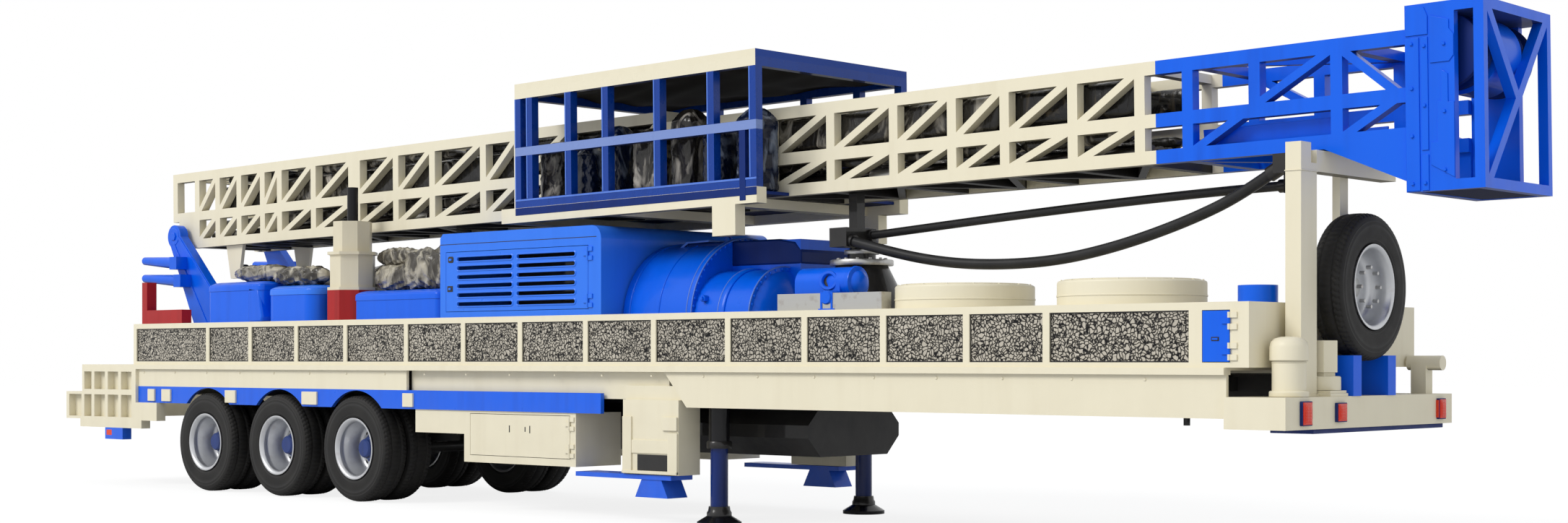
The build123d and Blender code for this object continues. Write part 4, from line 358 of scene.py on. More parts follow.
# A lighter blue for painted highlights on edges: on the cage, on the compressor and on the cowl's tip.
HIGHLIGHT_BLUE = paint("painted_highlight_blue", (0.10, 0.22, 0.72), (0.02, 0.10, 0.5), 0.3, 0.8, 0.2)
RED = paint("dark_red_paint", (0.42, 0.012, 0.014), (0.12, 0.002, 0.003), 0.38, 1.0, 0.12)
NAVY = paint("navy_paint", (0.0, 0.020, 0.16), (0.0, 0.004, 0.04), 0.5, 0.7, 0.0)
HUB_BLUE = paint("hub_blue_paint", (0.006, 0.040, 0.22), (0.004, 0.010, 0.04), 0.4, 1.0, 0.1)
# A dark brown for the sheet under the cage roof, which paints the shade there.
ROOF_SHADE_SHEET = paint("painted_roof_shade", (0.045, 0.032, 0.020), (0.003, 0.004, 0.010), 0.6, 1.0, 0.0)
print("paints made")

# %% [markdown]
# ## Black paint, steel, rubber and plastic
# Oily black castings shine in patches. Bare steel has fine lengthwise brushing and some rust freckles. Tyre
# rubber is a dusty charcoal that is never black in daylight, and hose rubber has a grey sheen.


# %% Other finishes
def oily_black(name, colour, gloss):
    """Black paint with an oil film: roughness goes from wet to dull in patches."""
    material, tree, shader = new_finish(name)
    tree.links.new(blend_colours(tree, noise(tree, 4.0, 5.0), colour, (0.03, 0.028, 0.026)),
                   shader.inputs["Base Color"])
    tree.links.new(spread(tree, noise(tree, 7.0, 5.0), gloss - 0.1, gloss + 0.3), shader.inputs["Roughness"])
    shader.inputs["Coat Weight"].default_value = 0.4
    raise_surface(tree, shader, noise(tree, 26.0, 4.0), 0.25, 0.004)
    return material


def bare_steel(name, colour, roughness, rust=0.3, grain=(1, 60, 60)):
    """Bare steel: fine brushing across the grain direction, and freckles of rust where a noise is high."""
    material, tree, shader = new_finish(name, roughness, 0.9)
    freckles = calculate(tree, "MULTIPLY", ramp_between(tree, noise(tree, 11.0, 8.0), 0.56, 0.70), rust)
    tree.links.new(blend_colours(tree, freckles, colour, (0.16, 0.06, 0.025)), shader.inputs["Base Color"])
    brushing = noise(tree, 3.0, 3.0, grain)
    tree.links.new(spread(tree, brushing, roughness - 0.1, roughness + 0.15), shader.inputs["Roughness"])
    raise_surface(tree, shader, brushing, 0.12, 0.001)
    return material


def rubber(name, colour, dust, roughness, bump=0.25):
    """Rubber with dust in broad patches and a fine leathery surface."""
    material, tree, shader = new_finish(name)
    tree.links.new(blend_colours(tree, noise(tree, 5.0, 6.0), colour, dust), shader.inputs["Base Color"])
    tree.links.new(spread(tree, noise(tree, 9.0, 3.0), roughness - 0.1, roughness + 0.1),
                   shader.inputs["Roughness"])
    raise_surface(tree, shader, noise(tree, 120.0, 4.0), bump, 0.002)
    return material


BLACK = oily_black("oily_black_paint", (0.006, 0.006, 0.008), 0.28)
CHASSIS_BLACK = oily_black("chassis_black_paint", (0.012, 0.012, 0.014), 0.5)
STEEL = bare_steel("bare_steel", (0.50, 0.50, 0.49), 0.36, 0.3)
DARK_STEEL = bare_steel("dark_pipe_steel", (0.055, 0.052, 0.05), 0.24, 0.35)
CHROME = bare_steel("hard_chrome", (0.86, 0.86, 0.88), 0.14, 0.0)
RIM_SILVER = bare_steel("rim_silver_paint", (0.58, 0.59, 0.61), 0.34, 0.12, (20, 20, 20))
HOSE = rubber("hose_rubber", (0.010, 0.010, 0.011), (0.035, 0.035, 0.036), 0.38, 0.12)
print("metals and rubber made")


# %% [markdown]
# ## Tyre rubber
# A tyre's sidewall carries moulded rings that follow its own shape. The tyres have a UV map whose second
# direction runs from bead to bead, so a ramp along it raises thin rings wherever the tyre sits.

# %% Tyre finish
TYRE_RINGS = (0.07, 0.12, 0.20, 0.235, 0.765, 0.80, 0.88, 0.93)
RING_WIDTH = 0.010


def tyre_finish():
    """Charcoal rubber; ridge height is 1 at each ring and 0 a hundredth of the section away."""
    material, tree, shader = new_finish("tyre_rubber")
    stops = [(0.0, (0, 0, 0))]
    for ring in TYRE_RINGS:
        stops += [(ring - RING_WIDTH, (0, 0, 0)), (ring, (1, 1, 1)), (ring + RING_WIDTH, (0, 0, 0))]
    rings = steps(tree, coordinate(tree, "Y", "UV"), stops)
    fine = noise(tree, 90.0, 4.0)
    height = calculate(tree, "ADD", rings, calculate(tree, "MULTIPLY", fine, 0.3))
    dusty = calculate(tree, "MULTIPLY", noise(tree, 6.0, 6.0), 0.8)
    worn = blend_colours(tree, dusty, (0.007, 0.007, 0.008), (0.036, 0.034, 0.031))
    tree.links.new(blend_colours(tree, calculate(tree, "MULTIPLY", rings, 0.4), worn, (0.06, 0.06, 0.06)),
                   shader.inputs["Base Color"])
    tree.links.new(spread(tree, noise(tree, 12.0, 3.0), 0.48, 0.72), shader.inputs["Roughness"])
    raise_surface(tree, shader, height, 0.55, 0.004)
    return material


TYRE = tyre_finish()

# %% [markdown]
# ## The embossed side panels
# The long panels are stucco-embossed sheet, black in the grooves and pale on the grains between them. A
# Voronoi texture gives each place its distance to the nearest cell edge: near an edge lies a groove, and
# the rest of the cell is a grain. A noise shifts the coordinates first, so that no two grains are alike.


# %% Panel finish
def panel_finish():
    """Pressed grain: a groove where the nearest cell edge is close, in coordinates shifted by a noise."""
    material, tree, shader = new_finish("embossed_panel", 0.4, 0.25)
    shifted = add_node(tree, "ShaderNodeVectorMath", operation="MULTIPLY_ADD")
    wander = add_node(tree, "ShaderNodeTexNoise")
    wander.inputs["Scale"].default_value = 11.0
    tree.links.new(place_vector(tree), wander.inputs["Vector"])
    tree.links.new(wander.outputs["Color"], shifted.inputs[0])
    shifted.inputs[1].default_value = (0.10, 0.10, 0.10)
    tree.links.new(place_vector(tree), shifted.inputs[2])
    cells = add_node(tree, "ShaderNodeTexVoronoi", feature="DISTANCE_TO_EDGE")
    cells.inputs["Scale"].default_value = 32.0
    cells.inputs["Randomness"].default_value = 0.75
    tree.links.new(shifted.outputs["Vector"], cells.inputs["Vector"])
    grain = ramp_between(tree, cells.outputs["Distance"], 0.05, 0.17)
    soiled = blend_colours(tree, noise(tree, 1.4, 4.0), (0.66, 0.61, 0.52), (0.40, 0.37, 0.31))
    tree.links.new(blend_colours(tree, grain, (0.006, 0.006, 0.007), soiled), shader.inputs["Base Color"])
    raise_surface(tree, shader, grain, 0.8, 0.006)
    return material


PANEL = panel_finish()

# %% [markdown]
# ## Lamp lenses and film
# The lamp lenses are moulded deep red plastic. Tools on the mast and deck are wrapped in dark film, crumpled
# and shiny, so that it catches streaks of light. The tops of its creases take a lighter colour, brown,
# blue-grey, smoke grey or pale, as a painted highlight.


# %% Lens and film
def lens_finish():
    """Lens plastic with fine moulded squares: a product of two waves raises the surface."""
    material, tree, shader = new_finish("lamp_lens", 0.12)
    shader.inputs["Base Color"].default_value = (0.78, 0.030, 0.006, 1)
    shader.inputs["Coat Weight"].default_value = 0.25
    shader.inputs["Subsurface Weight"].default_value = 0.15
    waves = []
    for direction in ("Y", "Z"):
        wave = add_node(tree, "ShaderNodeTexWave", bands_direction=direction)
        wave.inputs["Scale"].default_value = 16.0
        tree.links.new(place_vector(tree), wave.inputs["Vector"])
        waves.append(wave.outputs["Fac"])
    raise_surface(tree, shader, calculate(tree, "MULTIPLY", *waves), 0.5, 0.003)
    return material


def film_finish(name, dark, highlight_colour, share, gloss=0.14):
    """Crumpled film: folded noise gives creases, and the high ones show the lighter colour, a painted
    highlight.
    """
    material, tree, shader = new_finish(name, gloss)
    fold = noise(tree, 5.5, 6.0, (1, 1, 0.45), 1.4)
    # The high creases take the highlight colour: a painted highlight.
    creases = ramp_between(tree, fold, share, share + 0.16)
    tree.links.new(blend_colours(tree, creases, dark, highlight_colour), shader.inputs["Base Color"])
    shader.inputs["Coat Weight"].default_value = 0.45
    shader.inputs["Coat Roughness"].default_value = 0.06
    raise_surface(tree, shader, fold, 0.9, 0.05)
    return material


LENS = lens_finish()
# Each film is a dark colour with a lighter one on its crease tops, which is a painted highlight.
BLACK_FILM = film_finish("black_film", (0.004, 0.004, 0.005), (0.085, 0.066, 0.040), 0.58, 0.2)
GREY_HIGHLIT_FILM = film_finish("dark_film_grey_highlights", (0.016, 0.014, 0.012), (0.42, 0.39, 0.34), 0.52, 0.2)
PALE_HIGHLIT_FILM = film_finish("dark_film_pale_highlights", (0.045, 0.038, 0.028), (0.46, 0.42, 0.33), 0.46, 0.2)
CASE_FILM = film_finish("blue_black_film", (0.003, 0.008, 0.030), (0.20, 0.24, 0.32), 0.56, 0.2)
print("lens and film made")

# %% [markdown]
# ## Finishes on the solids
# Each solid of the frame keeps its shape and takes one finish. The lock columns and the landing legs change
# colour along their height, so their paint is chosen inside the material from Object coordinates.


# %% Column and leg finish
COLUMN_CAP_Z = 2.81
LEG_CHANGE_Z = 0.66
FOOT_TOP_Z = 0.095


def column_finish(limit):
    """Cream paint below a height and bare black rod above it."""
    material, tree, shader = new_finish("lock_column_paint", 0.4)
    above = calculate(tree, "GREATER_THAN", coordinate(tree, "Z"), limit)
    cream = blend_colours(tree, noise(tree, 3.0, 6.0, (1, 1, 0.3)), (0.88, 0.82, 0.64), (0.62, 0.55, 0.40))
    tree.links.new(blend_colours(tree, above, cream, (0.01, 0.01, 0.012)), shader.inputs["Base Color"])
    raise_surface(tree, shader, noise(tree, 14.0, 4.0), 0.15, 0.004)
    return material


def leg_finish(limit):
    """Blue paint below a height, and oily black above it and on the foot."""
    material, tree, shader = new_finish("landing_leg_paint", 0.25)
    above = calculate(tree, "GREATER_THAN", coordinate(tree, "Z"), limit)
    blue = blend_colours(tree, noise(tree, 5.0, 5.0, (1, 1, 0.2)), (0.003, 0.03, 0.22), (0.002, 0.008, 0.05))
    foot = calculate(tree, "LESS_THAN", coordinate(tree, "Z"), FOOT_TOP_Z)
    black_part = calculate(tree, "ADD", above, foot, clamp=True)
    tree.links.new(blend_colours(tree, black_part, blue, (0.007, 0.007, 0.009)), shader.inputs["Base Color"])
    shader.inputs["Coat Weight"].default_value = 0.2
    raise_surface(tree, shader, noise(tree, 12.0, 4.0), 0.2, 0.004)
    return material


# %% Give each solid its finish
FINISHES = {
    CREAM: ("platform", "body_frame", "cabinets", "jack_housings", "tail_frame", "front_bumper",
            "cooler_drums", "mast_rest", "cabinet_door_near", "cabinet_door_far"),
    ROOF_CREAM: ("cage_floor_roof",),
    MAST_CREAM: ("mast_frame",),
    FITTING_CREAM: ("front_fittings",),
    BLUE: ("wheel_arch_rail", "access_door_near", "access_door_far", "jack_leg_near", "jack_leg_far",
           "pivot_tower", "compressor", "deck_covers", "mast_head", "crown"),
    LAMP_BLUE: ("marker_lamps",),
    CANOPY_BLUE: ("engine_canopy", "canopy_door_near", "canopy_door_far"),
    CAGE_BLUE: ("cage",),
    RED: ("red_posts",),
    CHASSIS_BLACK: ("chassis_frame", "axles", "underslung_tank", "engine_block"),
    BLACK: ("mud_pump", "hoist_barrels", "hose_fittings", "rotary_head"),
    PANEL: ("side_panels",),
    STEEL: ("steel_beam",),
    DARK_STEEL: ("drill_pipes",),
    CHROME: ("hoist_rods",),
    BLACK_FILM: ("stowed_tools",),
    column_finish(COLUMN_CAP_Z): ("lock_columns",),
    leg_finish(LEG_CHANGE_Z): ("landing_legs",),
}
for finish, names in FINISHES.items():
    for name in names:
        for material_slot in NODES[name].material_slots:
            material_slot.material = finish
print("solids finished", sum(len(names) for names in FINISHES.values()))

# %% [markdown]
# ## Small tools for shapes
# Every new piece is worked out with numpy as points and faces. A shape here is a pair: an array of points,
# and a list of arrays of faces. Shapes are joined into one mesh, doubles are merged so that seams and poles
# close, and the normals are turned outwards.


# %% Shape helpers
AHEAD, ASIDE, UP = (1, 0, 0), (0, 1, 0), (0, 0, 1)


def grid_faces(rows, columns, wrap_rows=False, wrap_columns=False):
    """Quads between neighbouring points of a rows x columns grid; a wrapped direction joins last to first."""
    row = np.arange(rows if wrap_rows else rows - 1)
    column = np.arange(columns if wrap_columns else columns - 1)
    r, c = np.meshgrid(row, column, indexing="ij")
    next_r, next_c = (r + 1) % rows, (c + 1) % columns
    corners = [r * columns + c, next_r * columns + c, next_r * columns + next_c, r * columns + next_c]
    return np.stack(corners, -1).reshape(-1, 4)


def join(*shapes):
    """Puts shapes into one: points below each other, face numbers moved on by the points before."""
    starts = np.cumsum([0] + [len(points) for points, _ in shapes])
    faces = [face + start for (_, blocks), start in zip(shapes, starts) for face in blocks]
    return np.concatenate([points for points, _ in shapes]), faces


def across(direction):
    """Two unit vectors square to a direction and to each other."""
    along = np.asarray(direction, float) / np.linalg.norm(direction)
    helper = np.array([0.0, 0.0, 1.0]) if abs(along[2]) < 0.9 else np.array([0.0, 1.0, 0.0])
    first = np.cross(helper, along)
    first /= np.linalg.norm(first)
    return first, np.cross(along, first)


def turned(profile, origin, direction, sides=40, hoop=False):
    """Lathe work: origin + height x direction + radius x (cos a, sin a) at each (radius, height) and angle a.

    A hoop's profile is a closed line, so its last ring joins its first."""
    radius, height = np.asarray(profile, float).T
    first, second = across(direction)
    along = np.asarray(direction, float) / np.linalg.norm(direction)
    angle = np.linspace(0, 2 * pi, sides, endpoint=False)
    ring = np.cos(angle)[:, None] * first + np.sin(angle)[:, None] * second
    points = np.asarray(origin) + height[:, None, None] * along + radius[:, None, None] * ring
    return points.reshape(-1, 3), [grid_faces(len(radius), sides, wrap_rows=hoop, wrap_columns=True)]


def cut_lathe(profile, origin, floor, sides=40):
    """Lathe work along X, cut off flat at a floor: radius r starts where sin a = (floor - centre) / r.

    The flat cut and both ends are closed."""
    radius, place = np.asarray(profile, float).T
    start = np.arcsin(np.clip((floor - origin[2]) / radius, -1, 1))[:, None]
    angle = start + np.linspace(0, 1, sides) * (pi - 2 * start)
    points = np.stack([
        origin[0] + place[:, None] + 0 * angle,
        origin[1] + radius[:, None] * np.cos(angle),
        origin[2] + radius[:, None] * np.sin(angle),
    ], -1)
    first = np.arange(len(radius)) * sides
    edge = np.concatenate([first, first[::-1] + sides - 1])
    ends = np.arange(sides)[None, ::-1], np.arange(sides)[None, :] + (len(radius) - 1) * sides
    return points.reshape(-1, 3), [grid_faces(len(radius), sides), edge[None, :], *ends]


def rod(start, end, radius, sides=20, edge=0.15):
    """A round bar from start to end, its end edges broken by a share of the radius, both ends closed."""
    start, end = np.asarray(start, float), np.asarray(end, float)
    length = np.linalg.norm(end - start)
    broken = radius * edge
    profile = [(0, 0), (radius - broken, 0), (radius, broken), (radius, length - broken),
               (radius - broken, length), (0, length)]
    return turned(profile, start, end - start, sides)


def tube(path, radius, sides=16):
    """A ring of points round each path point, in the plane across the path; both ends close on the path."""
    path = np.asarray(path, float)
    radius = np.broadcast_to(np.asarray(radius, float), len(path))
    along = np.gradient(path, axis=0)
    along /= np.linalg.norm(along, axis=1)[:, None]
    helper = across(along[0])[0]
    first = np.cross(along, np.cross(helper, along))
    first /= np.linalg.norm(first, axis=1)[:, None]
    second = np.cross(along, first)
    angle = np.linspace(0, 2 * pi, sides, endpoint=False)[None, :, None]
    ring = np.cos(angle) * first[:, None] + np.sin(angle) * second[:, None]
    body = path[:, None] + radius[:, None, None] * ring
    ends = [np.broadcast_to(path[end], (1, sides, 3)) for end in (0, -1)]
    points = np.concatenate([ends[0], body, ends[1]])
    return points.reshape(-1, 3), [grid_faces(len(points), sides, wrap_columns=True)]


BOX_FACES = np.array([[0, 1, 3, 2], [4, 6, 7, 5], [0, 4, 5, 1], [2, 3, 7, 6], [0, 2, 6, 4], [1, 5, 7, 3]])


def slab(low, high):
    """A box between two corners."""
    corners = np.array(np.meshgrid(*zip(low, high), indexing="ij"), float).reshape(3, -1).T
    return corners, [BOX_FACES]


def side_slab(side, low, high, near, far):
    """A box between two (X, Z) corners, from one distance out to another on one side of the rig."""
    first, last = sorted((side * near, side * far))
    return slab((low[0], first, low[1]), (high[0], last, high[1]))


def prism(outline, low, high, place):
    """An outline (a, b) carried from low to high; place turns arrays a, b, c into points."""
    a, b = np.asarray(outline, float).T
    count = len(a)
    rings = [place(a, b, np.full(count, level)) for level in (low, high)]
    ring = np.arange(count)
    return np.concatenate(rings), [grid_faces(2, count, wrap_columns=True), ring[None, :],
                                   ring[None, ::-1] + count]


def rounded(half_a, half_b, radius, count=6):
    """Outline of a rectangle with round corners: four quarter circles set in by their radius."""
    turn = np.linspace(0, pi / 2, count)
    quarter = (half_a - radius, half_b - radius) + radius * np.stack([np.cos(turn), np.sin(turn)], -1)
    flipped = quarter[::-1] * (-1, 1)
    return np.concatenate([quarter, flipped, -quarter, -flipped])


def closed_sheet(front, back, rows, columns):
    """Two grids of points, one behind the other, and a band of quads round their edges."""
    count = rows * columns
    edge = np.concatenate([
        np.arange(columns), np.arange(1, rows) * columns + columns - 1,
        count - columns + np.arange(columns - 1)[::-1], np.arange(1, rows - 1)[::-1] * columns,
    ])
    after = np.roll(edge, -1)
    faces = grid_faces(rows, columns)
    return np.concatenate([front, back]), [
        faces, faces[:, ::-1] + count, np.stack([edge, after, after + count, edge + count], -1)]


def moved(shape, change):
    """Applies a function of the points to a shape."""
    points, faces = shape
    return change(points), faces


# %% Piece maker
SEAM_DISTANCE = 0.00002
BEVEL_FROM_ANGLE = 40


def piece(name, shape, finish, body="trailer", bevel=0.0, smooth=True, angle=35, uv=None,
          node=None):
    """Makes one object of a shape, closes its seams, turns its faces outwards, and lets it ride on a body.

    A node is the name of the solid that the piece replaces."""
    points, blocks = shape
    mesh = bpy.data.meshes.new(name)
    mesh.from_pydata(points.tolist(), [], [face for block in blocks for face in block.tolist()])
    if uv is not None:
        layer = mesh.uv_layers.new(name="UVMap")
        corners = np.empty(len(mesh.loops), int)
        mesh.loops.foreach_get("vertex_index", corners)
        layer.data.foreach_set("uv", uv[corners].ravel())
    worked = bmesh.new()
    worked.from_mesh(mesh)
    bmesh.ops.remove_doubles(worked, verts=worked.verts, dist=SEAM_DISTANCE)
    bmesh.ops.recalc_face_normals(worked, faces=worked.faces)
    worked.to_mesh(mesh)
    worked.free()
    if smooth:
        mesh.shade_smooth()
        mesh.set_sharp_from_angle(angle=radians(angle))
    mesh.materials.append(finish)
    thing = bpy.data.objects.new(name, mesh)
    bpy.context.scene.collection.objects.link(thing)
    if bevel:
        rounding = thing.modifiers.new("rounded_edges", "BEVEL")
        rounding.width = bevel
        rounding.segments = 2
        rounding.limit_method = "ANGLE"
        rounding.angle_limit = radians(BEVEL_FROM_ANGLE)
    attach(thing, body)
    if node:
        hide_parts(node)
    return thing


# %% [markdown]
# ## The hoses
# Two heavy hoses hang between fittings under the mast. Each is one smooth line through a few given points,
# the same as the solids follow, with a round section. A spline of order three stays close to its points and
# never shows a kink.

# %% Hoses
MAIN_HOSE_POINTS = (
    (2.890, -0.450, 2.385), (3.230, -0.455, 2.300), (3.640, -0.450, 2.215), (4.040, -0.440, 2.165),
    (4.500, -0.435, 2.150), (4.950, -0.440, 2.170), (5.380, -0.450, 2.235), (5.790, -0.455, 2.330),
    (6.190, -0.455, 2.450), (6.520, -0.450, 2.580), (6.770, -0.450, 2.720),
)
SECOND_HOSE_POINTS = (
    (2.890, -0.200, 2.450), (3.510, -0.196, 2.493), (4.310, -0.200, 2.546), (5.110, -0.206, 2.592),
    (5.810, -0.200, 2.627), (6.360, -0.194, 2.649), (6.710, -0.196, 2.656),
)
# points, diameter, length
HOSES = {
    "main_hose": (MAIN_HOSE_POINTS, 0.085, 3.996),
    "second_hose": (SECOND_HOSE_POINTS, 0.070, 3.826),
}


def hose(name, points, diameter):
    """A NURBS curve with the points as its control points and a round section."""
    curve = bpy.data.curves.new(name + "_line", "CURVE")
    curve.dimensions = "3D"
    line = curve.splines.new("NURBS")
    line.points.add(len(points) - 1)
    line.points.foreach_set("co", np.column_stack([points, np.ones(len(points))]).ravel())
    line.order_u = 3
    line.use_endpoint_u = True
    line.resolution_u = 10
    curve.bevel_depth = diameter / 2
    curve.bevel_resolution = 6
    curve.use_fill_caps = True
    curve.materials.append(HOSE)
    thing = bpy.data.objects.new(name + "_smooth", curve)
    bpy.context.scene.collection.objects.link(thing)
    return thing


for name, (points, diameter, length) in HOSES.items():
    made = hose(name, points, diameter)
    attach(made, "mast")
    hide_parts(name)
print("hoses made", list(HOSES))

# %% [markdown]
# ## Tyres
# Twin truck tyres: a boxy section with round shoulders, three grooves round the tread, cuts across the ribs
# and notches on the shoulders. The section is a superellipse, and the tread pattern is a depth taken off
# the radius as a function of the angle and the place across, so one grid makes the whole tyre. It wraps
# both ways, which closes the tyre between its beads.

# %% Tyre surface
TYRE_RADIUS = 0.525
TYRE_HALF_WIDTH = 0.140
TYRE_MIDDLE = 0.407
TYRE_AROUND, TYRE_OVER = 288, 62
SECTION_POWER = 0.46
TREAD_FROM = 0.495
TREAD_CUTS = 72
GROOVES = (-0.052, 0.0, 0.052)
GROOVE_DEPTH, GROOVE_WIDTH = 0.012, 0.0065
SHOULDER_FROM = 0.088
NOTCH_DEPTH, CUT_DEPTH = 0.008, 0.005


def signed_power(value, power):
    """Keeps the sign and raises the size to a power."""
    return np.sign(value) * np.abs(value) ** power


def tyre(centre, axis_sign):
    """Superellipse section: across = w cos^e, radius = middle + h sin^e, less the tread's depth."""
    t = np.linspace(-0.31 * pi, 1.31 * pi, TYRE_OVER)
    place = -TYRE_HALF_WIDTH * signed_power(np.cos(t), SECTION_POWER)
    radius = TYRE_MIDDLE + (TYRE_RADIUS - TYRE_MIDDLE) * signed_power(np.sin(t), SECTION_POWER)
    radius, place = radius[:, None], place[:, None]
    out = np.abs(place)
    angle = np.linspace(0, 2 * pi, TYRE_AROUND, endpoint=False)[None, :]
    on_tread = np.clip((radius - TREAD_FROM) / 0.012, 0, 1)
    grooves = sum(np.exp(-((place - groove) / GROOVE_WIDTH) ** 2) for groove in GROOVES)
    cuts = np.cos(TREAD_CUTS * angle + 60 * out) > 0.55
    shoulder = np.clip((out - SHOULDER_FROM) / 0.01, 0, 1)
    ribs = (out > GROOVE_DEPTH) & (np.abs(out - GROOVES[-1]) > GROOVE_DEPTH)
    cut_depth = NOTCH_DEPTH * shoulder + CUT_DEPTH * ribs * (1 - shoulder)
    depth = on_tread * (GROOVE_DEPTH * grooves + cuts * cut_depth)
    points = np.stack([
        centre[0] + (radius - depth) * np.cos(angle),
        centre[1] + axis_sign * place + 0 * angle,
        centre[2] + (radius - depth) * np.sin(angle),
    ], -1)
    uv = np.stack(np.broadcast_arrays(angle / (2 * pi), np.linspace(0, 1, TYRE_OVER)[:, None]), -1)
    faces = grid_faces(TYRE_OVER, TYRE_AROUND, wrap_rows=True, wrap_columns=True)
    return (points.reshape(-1, 3), [faces]), uv.reshape(-1, 2)


# %% Road tyres
AXLE_X = (-5.54, -4.23, -2.92)
OUTER_TYRE_Y = 1.11
INNER_TYRE_Y = 0.80
for number, x in enumerate(AXLE_X, start=1):
    for name, side in SIDES.items():
        pair = [tyre((x, side * y, TYRE_RADIUS), side) for y in (OUTER_TYRE_Y, INNER_TYRE_Y)]
        made = piece(f"tyre_pair_{number}_{name}", join(*(shape for shape, _ in pair)), TYRE,
                     f"wheel_{number}_{name}", uv=np.concatenate([uv for _, uv in pair]),
                     node=f"tyre_{number}_{name}")
print("tyres: faces in one pair", len(made.data.polygons))

# %% [markdown]
# ## Rims and hubs
# A pressed steel rim: rolled flange, tapered well, dished disc with round hand holes, and a ring of nuts
# round a blue hub. The rim is one closed lathe profile, (radius, distance from the rig's middle) all the
# way round; nuts are small turned pieces set in a ring. The hand holes are not cut: a ring of black turned
# discs stands in for them, painted shade for the dark seen through a hole.

# %% Rims
RIM_PROFILE = (
    (0.2800, 1.2380), (0.3040, 1.2400), (0.3045, 1.2480), (0.2950, 1.2495), (0.2830, 1.2460),
    (0.2730, 1.2300), (0.2640, 1.2200), (0.2640, 1.2050), (0.2700, 1.1950), (0.2690, 1.1600),
    (0.2600, 1.1500), (0.2590, 1.1000), (0.2500, 1.0900), (0.2490, 1.0050), (0.2300, 0.9800),
    (0.2050, 0.9720), (0.1750, 0.9780), (0.1500, 0.9900), (0.1100, 0.9920), (0.1100, 0.9800),
    (0.1500, 0.9780), (0.1750, 0.9660), (0.2050, 0.9600), (0.2350, 0.9660), (0.2800, 0.9600),
    (0.2800, 0.6700),
)
BACK_PROFILE = ((0.2890, 0.6650), (0.3040, 0.6620), (0.3040, 0.6700), (0.2890, 0.9450), (0.2890, 1.2380))
HUB_PROFILE = (
    (0.0, 0.9600), (0.1480, 0.9600), (0.1480, 1.0080), (0.1300, 1.0140), (0.1120, 1.0150), (0.1100, 1.0650),
    (0.0960, 1.0780), (0.0920, 1.1130), (0.0780, 1.1280), (0.0500, 1.1300), (0.0, 1.1300),
)
NUT_RING = 0.128
NUT_COUNT = 10
HOLE_RING = 0.205
HOLE_COUNT = 8


def ring_places(count, radius, x, z):
    """Points spread evenly round a circle that faces sideways."""
    angle = np.arange(count) * 2 * pi / count
    return zip(x + radius * np.cos(angle), z + radius * np.sin(angle))


for number, x in enumerate(AXLE_X, start=1):
    for name, side in SIDES.items():
        out = (0, side, 0)
        origin = (x, 0, TYRE_RADIUS)
        wheel = f"wheel_{number}_{name}"
        dish = turned(BACK_PROFILE + RIM_PROFILE, origin, out, 72, hoop=True)
        piece(f"rim_dish_{number}_{name}", dish, RIM_SILVER, wheel, angle=50,
              node=f"rim_{number}_{name}")
        hub = turned(HUB_PROFILE, origin, out, 48)
        nuts = [rod((px, side * 1.005, pz), (px, side * 1.034, pz), 0.013, 6)
                for px, pz in ring_places(NUT_COUNT, NUT_RING, x, TYRE_RADIUS)]
        piece(f"hub_{number}_{name}", join(hub, *nuts), HUB_BLUE, wheel, angle=30)
        # Black discs on the dish are painted shade where the hand holes are.
        hole_shades = [rod((px, side * 0.965, pz), (px, side * 0.9745, pz), 0.024, 16)
                 for px, pz in ring_places(HOLE_COUNT, HOLE_RING, x, TYRE_RADIUS)]
        piece(f"hand_hole_shade_{number}_{name}", join(*hole_shades), CHASSIS_BLACK, wheel)
print("rims and hubs made")

# %% [markdown]
# ## The spare wheel
# The spare hangs upright on the front post, its axle along the rig. It is the same tyre turned a quarter, and
# the rim shows its dished front.

# %% Spare wheel
SPARE_MIDDLE = (7.23, 0.0, 1.92)
SPARE_HALF_WIDTH = 0.12


def to_front(points):
    """Turns a wheel that faces sideways to face forwards and narrows it to the spare's width."""
    return np.stack([
        SPARE_MIDDLE[0] + points[:, 1] * SPARE_HALF_WIDTH / TYRE_HALF_WIDTH,
        -points[:, 0],
        points[:, 2] + SPARE_MIDDLE[2],
    ], -1)


shape, uv = tyre((0, 0, 0), 1)
piece("spare_tread", moved(shape, to_front), TYRE, uv=uv, node="spare_tyre")
SPARE_RIM_PROFILE = (
    (0.0, 0.0400), (0.1100, 0.0400), (0.1100, 0.0300), (0.2300, 0.0250), (0.2700, 0.0010), (0.2890, 0.0010),
    (0.2890, 0.2320), (0.3040, 0.2330), (0.3040, 0.2395), (0.2900, 0.2398), (0.2720, 0.2250),
    (0.2680, 0.1500), (0.2550, 0.0900), (0.2300, 0.0620), (0.1900, 0.0560), (0.1400, 0.0640),
    (0.1100, 0.0600), (0.0800, 0.0560), (0.0, 0.0560),
)
origin = (SPARE_MIDDLE[0] - SPARE_HALF_WIDTH, 0, SPARE_MIDDLE[2])
spare_dish = turned(SPARE_RIM_PROFILE, origin, AHEAD, 72)
piece("spare_rim_dish", spare_dish, RIM_SILVER, angle=50, node="spare_rim")
print("spare wheel made")

# %% [markdown]
# ## Louvres and latches of the canopy doors
# Each slot in a canopy door is pressed outwards round its edge, which makes its ends round and gives the
# sheet a bright line. The pressing is a closed band: the outline of a slot in several sizes, each a little
# further out of the door. It rides on its door. Latches are dark plates with a blue handle on each.

# %% Canopy doors
LOUVRE_X = (-1.095, -0.235)
LOUVRE_Z = 2.14 + 0.085 * (np.arange(6) - 2.5)
LATCHES = (-1.59, 2.352), (-1.60, 2.075)
# half length, half height, distance out
PRESSING = ((0.395, 0.018, 1.082), (0.395, 0.018, 1.1045), (0.402, 0.024, 1.108), (0.412, 0.032, 1.1035),
            (0.414, 0.034, 1.0985))


def facing_side(outline, middle, face, side):
    """Puts an outline (along X, up) on an upright plane at a distance out to one side."""
    return np.stack([middle[0] + outline[:, 0], np.full(len(outline), side * face),
                     middle[1] + outline[:, 1]], -1)


